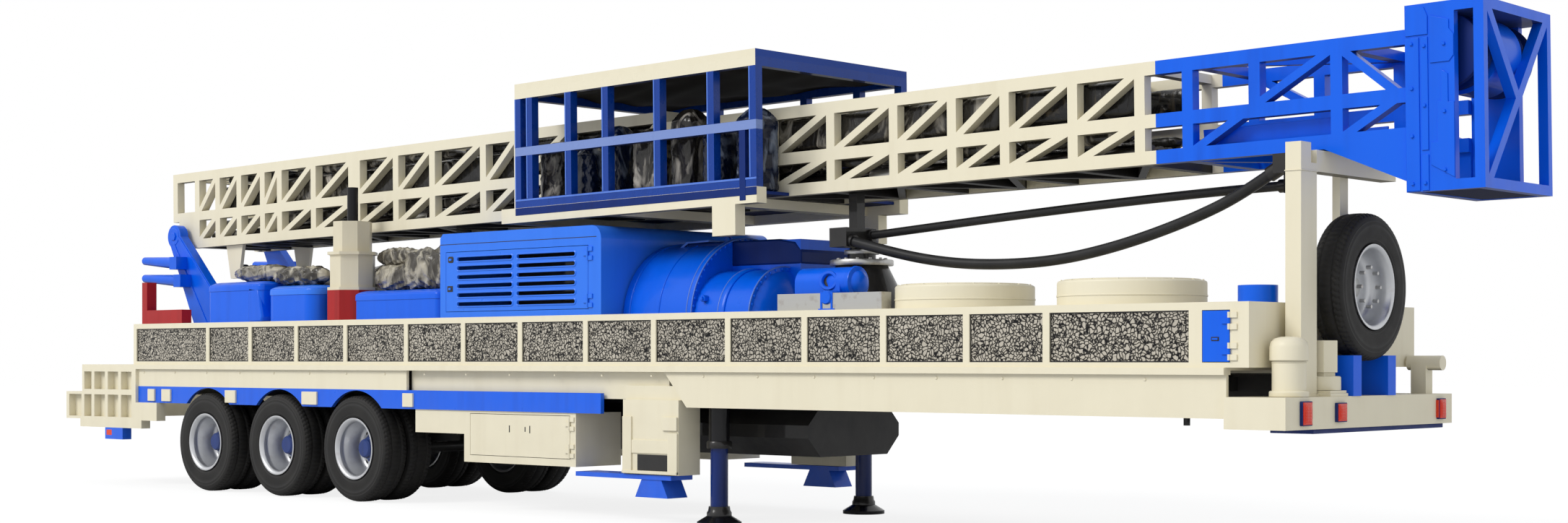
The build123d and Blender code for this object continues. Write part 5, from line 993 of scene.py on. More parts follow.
def band(middle, side, rows):
    """A closed band round a middle, through rounded outlines (half length, half height, distance out)."""
    loops = [facing_side(rounded(long, tall, tall), middle, face, side) for long, tall, face in rows]
    return np.concatenate(loops), [grid_faces(len(rows), len(loops[0]), wrap_rows=True, wrap_columns=True)]


def side_plate(middle, side, half_long, half_tall, corner, low, high):
    """A flat plate with round corners, standing from one distance out to another."""
    outline = rounded(half_long, half_tall, corner)
    return prism(outline, low, high, lambda a, b, c: np.stack([middle[0] + a, side * c, middle[1] + b], -1))


for name, side in SIDES.items():
    bands = [band((x, z), side, PRESSING) for x in LOUVRE_X for z in LOUVRE_Z]
    piece(f"louvre_edges_{name}", join(*bands), CANOPY_BLUE, f"canopy_door_{name}")
    latches = [side_plate(LATCHES[0], side, 0.040, 0.030, 0.018, 1.095, 1.104),
               side_plate(LATCHES[1], side, 0.040, 0.028, 0.006, 1.095, 1.104)]
    piece(f"canopy_latches_{name}", join(*latches), BLACK, f"canopy_door_{name}", bevel=0.002)
    handles = [side_plate(LATCHES[0], side, 0.018, 0.010, 0.008, 1.100, 1.112),
               side_plate(LATCHES[1], side, 0.016, 0.010, 0.003, 1.100, 1.112)]
    piece(f"canopy_handles_{name}", join(*handles), CANOPY_BLUE, f"canopy_door_{name}",
          bevel=0.002)
    seam = slab((-1.752, side * 1.096, 2.494), (0.440, side * 1.1015, 2.500))
    piece(f"canopy_seam_{name}", seam, BLACK, smooth=False)
print("louvres", len(LOUVRE_X) * len(LOUVRE_Z), "on each door")

# %% [markdown]
# ## The compressor
# Beside the canopy lies a big drum, cut off by the deck, with a bolted flange, a gear case with a domed
# cover and a dark sheet-metal cowl on top. The covers are lathe work whose every ring starts and ends at
# the deck. Bolt heads are six-sided rods set in an arc, and only those above the deck are made.

# %% Compressor
DECK = 1.80
DRUM_MIDDLE = np.array([0.0, -0.15, 1.75])
GEAR_MIDDLE = np.array([0.0, -0.42, 1.75])
FLANGE_X = 1.399


def arc_path(x, middle, radius, count=60):
    """Points on a half circle over the deck: middle + radius (cos a, sin a) from deck to deck."""
    start = np.arcsin((DECK - middle[2]) / radius)
    angle = np.linspace(start, pi - start, count)
    return np.stack([np.full(count, x), middle[1] + radius * np.cos(angle),
                     middle[2] + radius * np.sin(angle)], -1)


def arc_bolts(x, middle, radius, count, size=0.014, height=0.016):
    """Bolt heads along such an arc, standing forwards."""
    return [rod(place, place + (height, 0, 0), size, 6)
            for place in arc_path(x, middle, radius, count + 2)[1:-1]]


beads = [tube(arc_path(x, DRUM_MIDDLE, radius), size, 10)
         for x, radius, size in ((0.60, 0.700, 0.010), (0.97, 0.700, 0.008))]
# Thin lighter arcs along the flange and gear case edges are painted highlights.
HIGHLIGHT_ARCS = ((FLANGE_X, DRUM_MIDDLE, 0.729), (1.342, DRUM_MIDDLE, 0.729), (2.075, GEAR_MIDDLE, 0.452),
             (1.701, GEAR_MIDDLE, 0.442))
arc_highlights = [tube(arc_path(x, middle, radius), 0.007, 8) for x, middle, radius in HIGHLIGHT_ARCS]
flange_bolts = arc_bolts(FLANGE_X, DRUM_MIDDLE, 0.712, 30)
cover_profile = ((0.06, -0.01), (0.436, -0.01), (0.452, 0.0), (0.455, 0.014), (0.450, 0.028), (0.414, 0.032),
                 (0.400, 0.048), (0.350, 0.082), (0.26, 0.108), (0.15, 0.120), (0.06, 0.122))
gear_cover = cut_lathe(cover_profile, (2.05, *GEAR_MIDDLE[1:]), DECK)
cover_bolts = arc_bolts(2.076, GEAR_MIDDLE, 0.431, 16)
gear_band_profile = ((0.42, 0.0), (0.440, 0.0), (0.446, 0.008), (0.446, 0.062), (0.440, 0.07), (0.42, 0.07))
gear_band = cut_lathe(gear_band_profile, (1.70, *GEAR_MIDDLE[1:]), DECK, 48)
drain = [rod((1.52, -0.862, 1.93), (1.52, -0.80, 1.93), 0.030, 20),
         rod((1.52, -0.88, 1.93), (1.52, -0.85, 1.93), 0.018, 6)]
lift_eye = turned(((0.028, -0.011), (0.045, -0.011), (0.050, 0.0), (0.045, 0.011), (0.028, 0.011)),
                  (1.15, -0.15, 2.478), AHEAD, 24, hoop=True)
piece("compressor_fittings",
      join(*beads, *flange_bolts, gear_cover, *cover_bolts, gear_band, *drain, lift_eye), BLUE,
      angle=40)

piece("compressor_edge_highlights", join(*arc_highlights), HIGHLIGHT_BLUE, angle=60)

COWL_OUTLINE = ((0.815, 2.345), (0.838, 2.449), (1.95, 2.449), (2.14, 2.420), (2.208, 2.345), (2.208, 2.225),
                (0.822, 2.225))


def seen_from_side(a, b, c):
    """Takes outline values as X and Z and the carried value as Y."""
    return np.stack([a, c, b], -1)


cowl = prism(COWL_OUTLINE, -0.358, 0.558, seen_from_side)
piece("compressor_cowl", cowl, NAVY, bevel=0.018, angle=30)
# The cowl's chamfered tip is a lighter blue: a painted highlight.
tip = prism(((0.62, 2.330), (0.84, 2.462), (1.12, 2.470), (1.12, 2.452), (0.86, 2.446), (0.64, 2.318)),
            -0.372, 0.20, seen_from_side)
piece("cowl_tip", tip, HIGHLIGHT_BLUE, bevel=0.004)
print("drum", len(flange_bolts), "flange bolts, cover", len(cover_bolts))

# %% [markdown]
# ## The mud pump and the steel beam
# The pump is a black bell with pale machined rings where its column is bolted on. In front of it sits a blue
# valve with an open port, its bore dark with a black disc of painted shade. A bare steel beam lies along the
# deck's edge, held by a blue clamp.

# %% Mud pump
PUMP_FOOT = (2.76, -0.20, DECK)
VALVE_MIDDLE = (3.165, -0.75, 2.03)
VALVE_PORT = (2.98, -0.87, 2.045), (0.35, -1, 0.2)
rings = [
    turned(((0.20, 0.396), (0.266, 0.396), (0.270, 0.402), (0.270, 0.436), (0.264, 0.445), (0.14, 0.446)),
           PUMP_FOOT, UP, 56, hoop=True),
    turned(((0.10, 0.492), (0.146, 0.492), (0.150, 0.498), (0.150, 0.524), (0.145, 0.530), (0.10, 0.531)),
           PUMP_FOOT, UP, 48, hoop=True),
]


def standing_bolts(middle, radius, count, base, size=0.014, height=0.018):
    """Bolt heads round a circle on a level flange."""
    angle = np.arange(count) * 2 * pi / count
    feet = np.stack([middle[0] + radius * np.cos(angle), middle[1] + radius * np.sin(angle),
                     np.full(count, base)], -1)
    return [rod(foot, foot + (0, 0, height), size, 6) for foot in feet]


pump_bolts = standing_bolts(PUMP_FOOT, 0.205, 12, DECK + 0.443)
pump_bolts += standing_bolts(PUMP_FOOT, 0.385, 10, DECK + 0.075, 0.018)
piece("pump_rings", join(*rings, *pump_bolts), STEEL, angle=40)
column = turned(((0.0, 0.44), (0.088, 0.44), (0.088, 0.492), (0.105, 0.50), (0.105, 0.54), (0.080, 0.548),
                 (0.0, 0.548)),
                PUMP_FOOT, UP, 40)
ribs = [prism(((0.20, 0.38), (0.37, 0.08), (0.405, 0.0), (0.26, 0.0), (0.16, 0.38)), -0.012, 0.012,
              lambda a, b, c, turn=turn: np.stack([
                  PUMP_FOOT[0] + a * cos(turn) - c * sin(turn),
                  PUMP_FOOT[1] + a * sin(turn) + c * cos(turn),
                  DECK + 0.02 + b], -1))
        for turn in np.arange(6) * pi / 3 + 0.3]
piece("pump_column", join(column, *ribs), BLACK, bevel=0.003)
valve_face = turned(((0.0, -0.02), (0.128, -0.02), (0.138, 0.0), (0.134, 0.022), (0.100, 0.030),
                     (0.088, 0.060), (0.050, 0.085), (0.0, 0.090)), VALVE_MIDDLE, AHEAD, 40)
valve_port = turned(((0.046, -0.05), (0.074, -0.05), (0.082, 0.020), (0.078, 0.030), (0.058, 0.030),
                     (0.050, 0.020)),
                    *VALVE_PORT, 32, hoop=True)
valve_bolts = [rod(place, place + (0.02, 0, 0), 0.011, 6)
               for place in arc_path(VALVE_MIDDLE[0], VALVE_MIDDLE, 0.118, 9)]
piece("pump_valve", join(valve_face, valve_port, *valve_bolts), BLUE, angle=40)
# A black disc in the port is painted shade inside the bore.
port_shade = turned(((0.0, -0.03), (0.047, -0.03), (0.047, 0.0), (0.0, 0.002)), *VALVE_PORT, 24)
piece("valve_bore_shade", port_shade, BLACK)

# %% Clamp on the steel beam
clamp = [slab((3.03, -1.068, DECK), (3.20, -0.932, 1.815))]
clamp += [slab((x, -1.066, DECK), (x + 0.02, -0.934, 1.949)) for x in (3.05, 3.16)]
piece("clamp_plates", join(*clamp), BLUE, bevel=0.003)
clamp_drum = turned(((0.0, -0.012), (0.050, -0.012), (0.058, 0.0), (0.058, 0.128), (0.050, 0.140),
                     (0.0, 0.140)),
                    (3.115, -1.066, 1.905), ASIDE, 36)
piece("clamp_drum", clamp_drum, BLUE)
print("pump bolts", len(pump_bolts))

# %% [markdown]
# ## Film-wrapped tools
# The mast and cage are full of tools packed in crumpled film. A pack is a rounded box section carried along
# its length. Folded sine waves that run along and round it pull the surface in, which looks like film drawn
# tight over edges, and both ends shrink to a point. The waves' directions and phases come from a fixed
# seed.

# %% Packs
FOLD_STRENGTHS = (1.0, 0.8, 0.6, 0.5, 0.4, 0.3)
END_POWER = 0.45


def pack(place, seed, half, sections=64, around=40, power=0.55, creases=0.10, gather=(0.05, 0.05)):
    """Superellipse section half (cos^p, sin^p), scaled by end shrink and by 1 - sum of folded waves |sin|."""
    chosen = np.random.default_rng(seed)
    along = np.linspace(0, 1, sections)[:, None]
    angle = np.linspace(0, 2 * pi, around, endpoint=False)[None, :]
    fold = np.zeros((sections, around))
    for strength in FOLD_STRENGTHS:
        turns = chosen.integers(1, 7)
        runs = chosen.uniform(4, 22) * (1 if chosen.random() > 0.5 else -1)
        fold += strength * np.abs(np.sin(turns * angle + runs * along + chosen.uniform(0, 2 * pi)))
    fold *= creases / sum(FOLD_STRENGTHS)
    start = np.clip(along / gather[0], 0, 1) ** END_POWER
    end = np.clip((1 - along) / gather[1], 0, 1) ** END_POWER
    size = start * end * (1 - fold)
    a = half[0] * signed_power(np.cos(angle), power) * size
    b = half[1] * signed_power(np.sin(angle), power) * size
    points = place(np.broadcast_to(along, a.shape).ravel(), a.ravel(), b.ravel())
    return points, [grid_faces(sections, around, wrap_columns=True)]


def lying(u, y, v):
    """Places a pack along the mast between two distances, at a height and a place across."""
    return lambda s, a, b: on_mast(np.stack([u[0] + (u[1] - u[0]) * s, y + a, v + b], -1))


def standing(u, y, v):
    """Places a pack upright on the mast between two heights."""
    return lambda s, a, b: on_mast(np.stack([u + a, y + b, v[0] + (v[1] - v[0]) * s], -1))


# %% Packs along the mast
PACK_ENDS = (0.45, 1.75, 3.35, 4.60, 6.15, 7.60, 8.85, 10.30, 11.45, 12.72)
UPPER_PACKS_TO = 7.8
packs = {"dark": [], "grey_highlit": []}
for side in (-1, 1):
    for number, (start, end) in enumerate(zip(PACK_ENDS, PACK_ENDS[1:])):
        kind = "grey_highlit" if (number * 2 + side) % 5 in (1, 3) else "dark"
        seed = 100 + number * 2 + side
        packs[kind].append(pack(lying((start, end), side * 0.358, 0.395), seed, (0.070, 0.150), 66, 28))
        if end < UPPER_PACKS_TO:
            packs[kind].append(pack(lying((start + 0.2, end + 0.1), side * 0.31, 0.603), seed + 40,
                                    (0.11, 0.045), 48, 20))
piece("wrapped_tubes_dark", join(*packs["dark"]), BLACK_FILM, "mast", angle=60)
piece("wrapped_tubes_grey_highlit", join(*packs["grey_highlit"]), GREY_HIGHLIT_FILM, "mast", angle=60,
      node="stowed_tools")
LOW_ENDS = (0.50, 1.40, 2.65, 3.60, 5.00, 5.90, 7.10, 8.30, 9.50, 10.40, 11.60, 12.65)
low = [pack(lying((start, end), side * 0.345, 0.116), 300 + 2 * number + side, (0.074, 0.056), 44, 22,
            0.7, 0.18, (0.08, 0.08))
       for number, (start, end) in enumerate(zip(LOW_ENDS, LOW_ENDS[1:])) for side in (-1, 1)]
piece("low_packs", join(*low), GREY_HIGHLIT_FILM, "mast", angle=60)
print("packs along the mast", sum(len(group) for group in packs.values()) + len(low))

# %% Packs in the cage
# middle along the mast, length, height
CASES = ((6.60, 0.330, 0.640), (7.01, 0.310, 0.560), (7.40, 0.280, 0.720), (7.84, 0.330, 0.660),
         (8.31, 0.300, 0.790), (8.69, 0.280, 0.620), (9.10, 0.300, 0.730))
CASE_FOOT = -0.102
GREY_HIGHLIT_CASES = (0, 3, 4)
cases = {"dark": [], "grey_highlit": []}
for side in (-1, 1):
    for number, (middle, length, height) in enumerate(CASES):
        kind = "grey_highlit" if number in GREY_HIGHLIT_CASES else "dark"
        span = (CASE_FOOT, CASE_FOOT + height)
        cases[kind].append(pack(standing(middle, side * 0.705, span), 500 + 2 * number + side,
                                (length / 2 - 0.003, 0.158), 60, 48, 0.38, 0.12, (0.02, 0.16)))
piece("wrapped_cases_dark", join(*cases["dark"]), CASE_FILM, "mast", angle=60)
piece("wrapped_cases_grey_highlit", join(*cases["grey_highlit"]), GREY_HIGHLIT_FILM, "mast", angle=60)
plates = [slab((6.13, side * 0.53, -0.132), (9.30, side * 0.875, -0.104)) for side in (-1, 1)]
piece("case_plates", join(*(moved(plate, on_mast) for plate in plates)), NAVY, "mast",
      bevel=0.003)

# %% Painted shade under the cage roof
# A dark sheet that sags under the cage roof is painted shade.
SHEET_ROWS, SHEET_COLUMNS = 170, 60
SHEET_SAG = 0.035


def sheet_sag(u, y):
    """How far the sheet hangs down, 0 to 1: 1/2 + sin(7.1 u + 4 sin 3.3 y) / 4 + sin(13 y + 5.2 u) / 4."""
    return 0.5 + 0.25 * np.sin(7.1 * u + 4 * np.sin(3.3 * y)) + 0.25 * np.sin(13 * y + 5.2 * u)


u, y = np.meshgrid(np.linspace(6.38, 9.28, SHEET_ROWS), np.linspace(-0.905, 0.905, SHEET_COLUMNS),
                   indexing="ij")
under = np.stack([u, y, 1.006 - SHEET_SAG * sheet_sag(u, y)], -1).reshape(-1, 3)
over = np.stack([u, y, np.full_like(u, 1.0095)], -1).reshape(-1, 3)
shade_sheet = moved(closed_sheet(under, over, SHEET_ROWS, SHEET_COLUMNS), on_mast)
piece("cage_roof_shade_sheet", shade_sheet, ROOF_SHADE_SHEET, "mast", angle=60)
print("cases", 2 * len(CASES), "lining faces", len(shade_sheet[1][0]))

# %% [markdown]
# ## Edges and strips of the cage
# The cage's bars are square tube. A thin pale strip along one edge of each bar is a painted highlight on
# its outer corner, and a dark strip closes the gap to the floor beam.

# %% Cage strips
CAGE_FACE = 1.0
CAGE_POST_U = (6.34, 6.50, 7.03, 7.52, 8.18, 8.83, 9.32)


def mast_slab(low, high):
    """A box given in the mast's own directions."""
    return moved(slab(low, high), on_mast)


strips, skirts = [], []
for side in (-1, 1):
    inner, outer = sorted((side * (CAGE_FACE - 0.004), side * (CAGE_FACE + 0.003)))
    for u in CAGE_POST_U:
        strips.append(mast_slab((u - 0.040, inner, 0.002), (u - 0.026, outer, 0.398)))
        strips.append(mast_slab((u - 0.040, inner, 0.482), (u - 0.026, outer, 0.928)))
    strips.append(mast_slab((6.30, inner, -0.018), (9.36, outer, -0.002)))
    skirts.append(mast_slab((6.30, inner, -0.150), (9.36, outer, -0.082)))
    skirts.append(mast_slab((9.165, side * 0.93, -0.19), (9.235, side * 1.004, 0.40)))
# The pale strips are painted highlights on the bars' outer corners.
piece("cage_edge_highlights", join(*strips), HIGHLIGHT_BLUE, "mast", bevel=0.001)
piece("cage_skirts", join(*skirts), NAVY, "mast", bevel=0.003)
print("cage strips", len(strips))

# %% [markdown]
# ## Pipes in the mast
# Drill pipes lie side by side under everything else. Each has thicker tool joints, bare and shiny, which
# are not in line from pipe to pipe.

# %% Tool joints
PIPE_Y = 0.125 * (np.arange(6) - 2.5)
PIPE_V = -0.0047


def along_mast(start, end, y, v, radius, sides=24, edge=0.12):
    """A round bar along the mast."""
    ends = on_mast([(start, y, v), (end, y, v)])
    return rod(ends[0], ends[1], radius, sides, edge)


collars = [along_mast(u, u + 0.34, y, PIPE_V, 0.0612)
           for number, y in enumerate(PIPE_Y) for u in np.arange(0.75 + 0.37 * (number % 3), 12.2, 3.1)]
piece("tool_joints", join(*collars), STEEL, "mast", angle=40)
head_trim = [mast_slab((6.93, side * 0.251, 0.20), (8.17, side * 0.257, 0.45)) for side in (-1, 1)]
head_trim += [mast_slab((7.2, -0.20, 0.498), (7.9, 0.20, 0.506))]
piece("rotary_head_covers", join(*head_trim), BLUE, "rotary_head", bevel=0.004)
print("tool joints", len(collars))

# %% [markdown]
# ## The head of the mast and the crown
# The crown's side plates carry a cover with a long slot and stepped edges, held by bolts, and the sheaves
# stand between them. Inside the blue head section lies a shallow tray. The sheaves are lathe work with a
# rope groove.

# %% Crown
CROWN_FACE = 0.540
COVER_PARTS = (
    ((14.925, -0.470), (15.022, -0.470), (15.022, 0.560), (14.925, 0.560)),
    ((15.036, -0.200), (15.085, -0.200), (15.085, 0.560), (15.036, 0.560)),
    ((15.036, -0.470), (15.085, -0.470), (15.085, -0.230), (15.036, -0.230)),
    ((14.925, 0.575), (15.085, 0.575), (15.085, 0.700), (15.060, 0.760), (14.960, 0.780), (14.925, 0.740)),
    ((15.100, -0.300), (15.268, -0.395), (15.268, 0.110), (15.225, 0.110), (15.225, 0.300), (15.180, 0.330),
     (15.180, 0.120), (15.150, 0.120), (15.150, -0.150), (15.100, -0.150)),
    ((15.100, 0.380), (15.235, 0.380), (15.268, 0.420), (15.268, 0.560), (15.235, 0.600), (15.235, 0.660),
     (15.100, 0.700)),
)
CROWN_BOLTS = ((14.97, -0.42), (14.97, -0.10), (14.97, 0.22), (14.97, 0.52), (15.06, -0.42), (15.06, 0.10),
               (15.06, 0.50), (15.20, -0.34), (15.20, 0.05), (15.20, 0.50))
covers, bolts = [], []
for side in (-1, 1):
    for outline in COVER_PARTS:
        cover = prism(outline, side * (CROWN_FACE - 0.003), side * (CROWN_FACE + 0.009), seen_from_side)
        covers.append(moved(cover, on_mast))
    for u, v in CROWN_BOLTS:
        ends = on_mast([(u, side * CROWN_FACE, v), (u, side * (CROWN_FACE + 0.022), v)])
        bolts.append(rod(ends[0], ends[1], 0.013, 6))
piece("crown_covers", join(*covers), BLUE, "mast", bevel=0.003, angle=30)
piece("crown_bolts", join(*bolts), BLUE, "mast", angle=30)
SHEAVE_PROFILE = ((0.05, -0.030), (0.225, -0.030), (0.250, -0.024), (0.252, -0.016), (0.218, 0.0),
                  (0.252, 0.016), (0.250, 0.024), (0.225, 0.030), (0.05, 0.030))
middle = on_mast([(15.15, 0, 0.47)])[0]
sheaves = [turned(SHEAVE_PROFILE, middle + (0, y, 0), ASIDE, 64, hoop=True)
           for y in (-0.40, -0.25, 0.25, 0.40)]
piece("crown_sheaves", join(*sheaves), NAVY, "mast", angle=40)
crown_floor = mast_slab((14.99, -0.478, -0.472), (15.402, 0.478, -0.450))
piece("crown_floor", crown_floor, NAVY, "mast", bevel=0.003)

# %% Tray in the head section
tray_outline = ((-0.405, 0.100), (-0.385, 0.100), (-0.365, -0.040), (0.365, -0.040), (0.385, 0.100),
                (0.405, 0.100), (0.380, -0.058), (-0.380, -0.058))
tray = prism(tray_outline, 13.27, 14.33, lambda a, b, c: np.stack([c, a, b], -1))
piece("head_tray", moved(tray, on_mast), BLUE, "mast", bevel=0.004)
cross_bars = [along_mast(13.3, 14.3, y, 0.0, 0.028, 16) for y in (-0.22, 0.0, 0.22)]
piece("head_tray_bars", join(*cross_bars), DARK_STEEL, "mast")
print("crown cover parts", 2 * len(COVER_PARTS), "sheaves", len(sheaves))

# %% [markdown]
# ## The rear deck
# Blue moulded covers stand over the winches. A moulded cover has a crowned top with wide round edges, so each
# gets a cap whose outline shrinks as it rises on a quarter ellipse. Film-wrapped packs lie beside the lock
# columns, and the pivot tower's legs have a raised strip along the front edge.

# %% Cover caps
# rear, front, inner side, outer side, top, corner radius
COVERS = ((-5.75, -4.75, 0.52, 1.08, 2.20, 0.060), (-4.68, -3.83, 0.56, 1.08, 2.14, 0.150),
          (-3.25, -1.90, 0.56, 1.00, 2.06, 0.060))
ROUND_COVER = 1


def crowned_cap(low, high, base, rise, corner, edge, lap=0.006, rows=9):
    """Rounded outlines that shrink by edge (1 - cos t) while they rise by rise sin t, over a straight lap."""
    middle = (np.array(low) + high) / 2
    half = (np.array(high) - low) / 2 + lap
    count = 24
    loops = [np.column_stack([rounded(*(half - 0.02), corner), np.full(count, base - 0.05)]),
             np.column_stack([rounded(*half, corner), np.full(count, base - 0.045)])]
    for turn in np.linspace(0, pi / 2, rows):
        shrink = edge * (1 - cos(turn))
        loops.append(np.column_stack([rounded(*(half - shrink), max(corner - shrink * 0.5, 0.01)),
                                      np.full(count, base + rise * sin(turn))]))
    points = np.concatenate(loops) + (*middle, 0)
    ring = np.arange(count)[None]
    return points, [grid_faces(len(loops), count, wrap_columns=True), ring[:, ::-1],
                    ring + count * (len(loops) - 1)]


caps, pale_caps = [], []
for number, (rear, front, inner, outer, top, corner) in enumerate(COVERS):
    for side in (-1, 1):
        low_y, high_y = sorted((side * inner, side * outer))
        cap = crowned_cap((rear, low_y), (front, high_y), top - 0.02, 0.055, corner, 0.14)
        (pale_caps if number == ROUND_COVER else caps).append(cap)
piece("cover_caps", join(*caps), BLUE, angle=50)
piece("round_cover_caps", join(*pale_caps), CANOPY_BLUE, angle=50)
facets = [prism(((-4.98, 1.80), (-4.745, 1.80), (-4.72, 1.86), (-4.80, 2.15), (-4.98, 2.17)), side * 0.60,
                side * 1.086, seen_from_side) for side in (-1, 1)]
piece("cover_facets", join(*facets), BLUE, bevel=0.02, angle=30)

# %% Packs on the deck


def on_deck(x, y, z):
    """Places a pack along the rig between two X values."""
    return lambda s, a, b: np.stack([x[0] + (x[1] - x[0]) * s, y + a, z + b], -1)


# X from and to, distance out, height, seed, half width and height, points along and round, power of the
# section, creases, gather at each end
DECK_PACKS = (
    ((-3.20, -2.35), 0.74, 2.225, 700, (0.17, 0.16), 60, 44, 0.70, 0.3, (0.25, 0.20)),
    ((-2.75, -1.84), 0.72, 2.305, 710, (0.18, 0.24), 60, 44, 0.65, 0.3, (0.20, 0.12)),
    ((-3.30, -2.60), 0.66, 2.440, 720, (0.10, 0.11), 50, 36, 0.80, 0.3, (0.30, 0.30)),
    ((-5.62, -4.60), 0.80, 2.328, 750, (0.17, 0.105), 60, 40, 0.75, 0.3, (0.30, 0.30)),
    ((-4.85, -3.90), 0.84, 2.278, 760, (0.15, 0.120), 60, 40, 0.75, 0.3, (0.30, 0.20)),
)
deck_packs = [pack(on_deck(x, side * out, height), seed + side, *form)
              for side in (-1, 1) for x, out, height, seed, *form in DECK_PACKS]
deck_packs.append(pack(on_deck((-4.95, -3.40), 0.0, 2.115), 730, (0.20, 0.335), 80, 52,
                       0.6, 0.25, (0.2, 0.2)))
piece("deck_packs", join(*deck_packs), PALE_HIGHLIT_FILM, angle=60)
dark_packs = [pack(on_deck((-2.30, -1.80), side * 0.60, 2.40), 740 + side, (0.14, 0.17), 50, 40,
                   0.6, 0.3, (0.2, 0.1))
              for side in (-1, 1)]
piece("dark_deck_packs", join(*dark_packs), GREY_HIGHLIT_FILM, angle=60)

# %% Tower strips
TOWER_STRIPS = (((-5.95, 1.80), (-5.90, 1.80), (-6.955, 2.79), (-7.005, 2.79)),
                ((-6.42, 1.80), (-6.38, 1.80), (-7.075, 2.74), (-7.105, 2.74)))
strips = []
for side in (-1, 1):
    span = sorted((side * 0.668, side * 0.678))
    strips += [prism(outline, *span, seen_from_side) for outline in TOWER_STRIPS]
    for near, far, radius, sides, edge in ((0.66, 0.676, 0.100, 40, 0.06), (0.67, 0.690, 0.048, 6, 0.1)):
        strips.append(rod(PIVOT + (0, side * near, 0), PIVOT + (0, side * far, 0), radius, sides, edge))
piece("tower_strips", join(*strips), BLUE, bevel=0.002)
print("covers", len(COVERS) * 2, "deck packs", len(deck_packs) + len(dark_packs))

# %% [markdown]
# ## The front end
# The bumper carries three deep red marker lamps, a canister with a wide cap, a hexagonal post on its own
# base, and the spare wheel. Lamps are a dark bezel with a crowned lens. The lens surface bulges as a
# parabola both ways.

# %% Marker lamps
# Y, half width, half height
LAMP_PLACES = ((-0.99, 0.062, 0.076), (-0.50, 0.062, 0.060), (1.05, 0.050, 0.070))
LAMP_Z = 1.04
LENS_FACE_X = 7.361
LENS_COUNT = 17


def lens(middle_y, half_y, half_z, bulge=0.012):
    """Crowned lens: depth = bulge (1 - a^4)(1 - b^4) over a rounded rectangle, closed by its flat back."""
    a, b = np.meshgrid(*[np.linspace(-1, 1, LENS_COUNT)] * 2, indexing="ij")
    depth = bulge * (1 - a ** 4) * (1 - b ** 4) + 0.004
    front = np.stack([LENS_FACE_X + depth, middle_y + a * half_y, LAMP_Z + b * half_z], -1).reshape(-1, 3)
    back = front * (0, 1, 1) + (LENS_FACE_X, 0, 0)
    return closed_sheet(front, back, LENS_COUNT, LENS_COUNT)


lenses = [lens(*place) for place in LAMP_PLACES]
piece("front_lenses", join(*lenses), LENS, angle=50)
bezels = []
for y, half_y, half_z in LAMP_PLACES:
    outline = rounded(half_y + 0.007, half_z + 0.007, 0.008)
    bezels.append(prism(outline, LENS_FACE_X - 0.023, LENS_FACE_X + 0.001,
                        lambda a, b, c, y=y: np.stack([c, y + a, LAMP_Z + b], -1)))
piece("lamp_bezels", join(*bezels), NAVY, bevel=0.002)
under_plate = slab((6.98, -0.82, 0.897), (7.312, 1.16, 0.945))
piece("bumper_under_plate", under_plate, NAVY, bevel=0.004)

# %% Canister, post and rest
canister = (7.21, -0.97, 1.15)
canister_trim = [
    turned(((0.0, 0.245), (0.126, 0.245), (0.131, 0.252), (0.131, 0.340), (0.122, 0.375), (0.098, 0.398),
            (0.060, 0.409), (0.0, 0.412)), canister, UP, 56),
    turned(((0.10, 0.0), (0.130, 0.0), (0.134, 0.006), (0.134, 0.034), (0.128, 0.042), (0.10, 0.042)),
           canister, UP, 56, hoop=True),
    turned(((0.10, 0.232), (0.119, 0.232), (0.119, 0.240), (0.10, 0.240)), canister, UP, 48, hoop=True),
]
post = (7.21, -0.49, 1.15)
hexagon = np.stack([np.cos(np.arange(6) * pi / 3), np.sin(np.arange(6) * pi / 3)], -1)


def on_post(a, b, c):
    """Places values beside and over the foot of the post."""
    return np.stack([post[0] + a, post[1] + b, post[2] + c], -1)


post_trim = [
    prism(hexagon * 0.108, 0.165, 0.388, on_post),
    turned(((0.06, 0.040), (0.116, 0.040), (0.120, 0.046), (0.120, 0.130), (0.114, 0.140), (0.06, 0.140)),
           post, UP, 48, hoop=True),
    slab((7.085, -0.615, 1.148), (7.335, -0.365, 1.172)),
]
piece("front_post_trim", join(*canister_trim, *post_trim), CREAM, bevel=0.004)
rest_band = [slab((7.104, -0.846, 2.700), (7.236, -0.614, 2.708)),
             slab((7.100, -0.850, 1.150), (7.240, -0.610, 1.165))]
piece("rest_trim", join(*rest_band), CREAM, bevel=0.002)
carrier = [rod((7.285, y, z), (7.325, y, z), 0.015, 6) for y, z in ring_places(8, 0.14, 0.0, SPARE_MIDDLE[2])]
carrier.append(turned(((0.0, 0.0), (0.075, 0.0), (0.080, 0.01), (0.070, 0.035), (0.030, 0.045), (0.0, 0.045)),
                      (7.165, 0, SPARE_MIDDLE[2]), AHEAD, 32))
piece("spare_nuts", join(*carrier), STEEL, angle=30)
print("lamps", len(LAMP_PLACES))

# %% [markdown]
# ## The body's sides and the parts below
# Small things sit on the long sides: a latch on each blue door, three short slots in the cabinet door, whose
# dark inside is painted shade on black strips, reflector blocks on the blue rail and bolts on the skirts.
# Below hang brake chambers, air tanks and the landing legs' collars. They are rods, plates and lathe work,
# set where a driver would look for them.

# %% Sides
DOOR_LATCH = (6.789, 1.546)
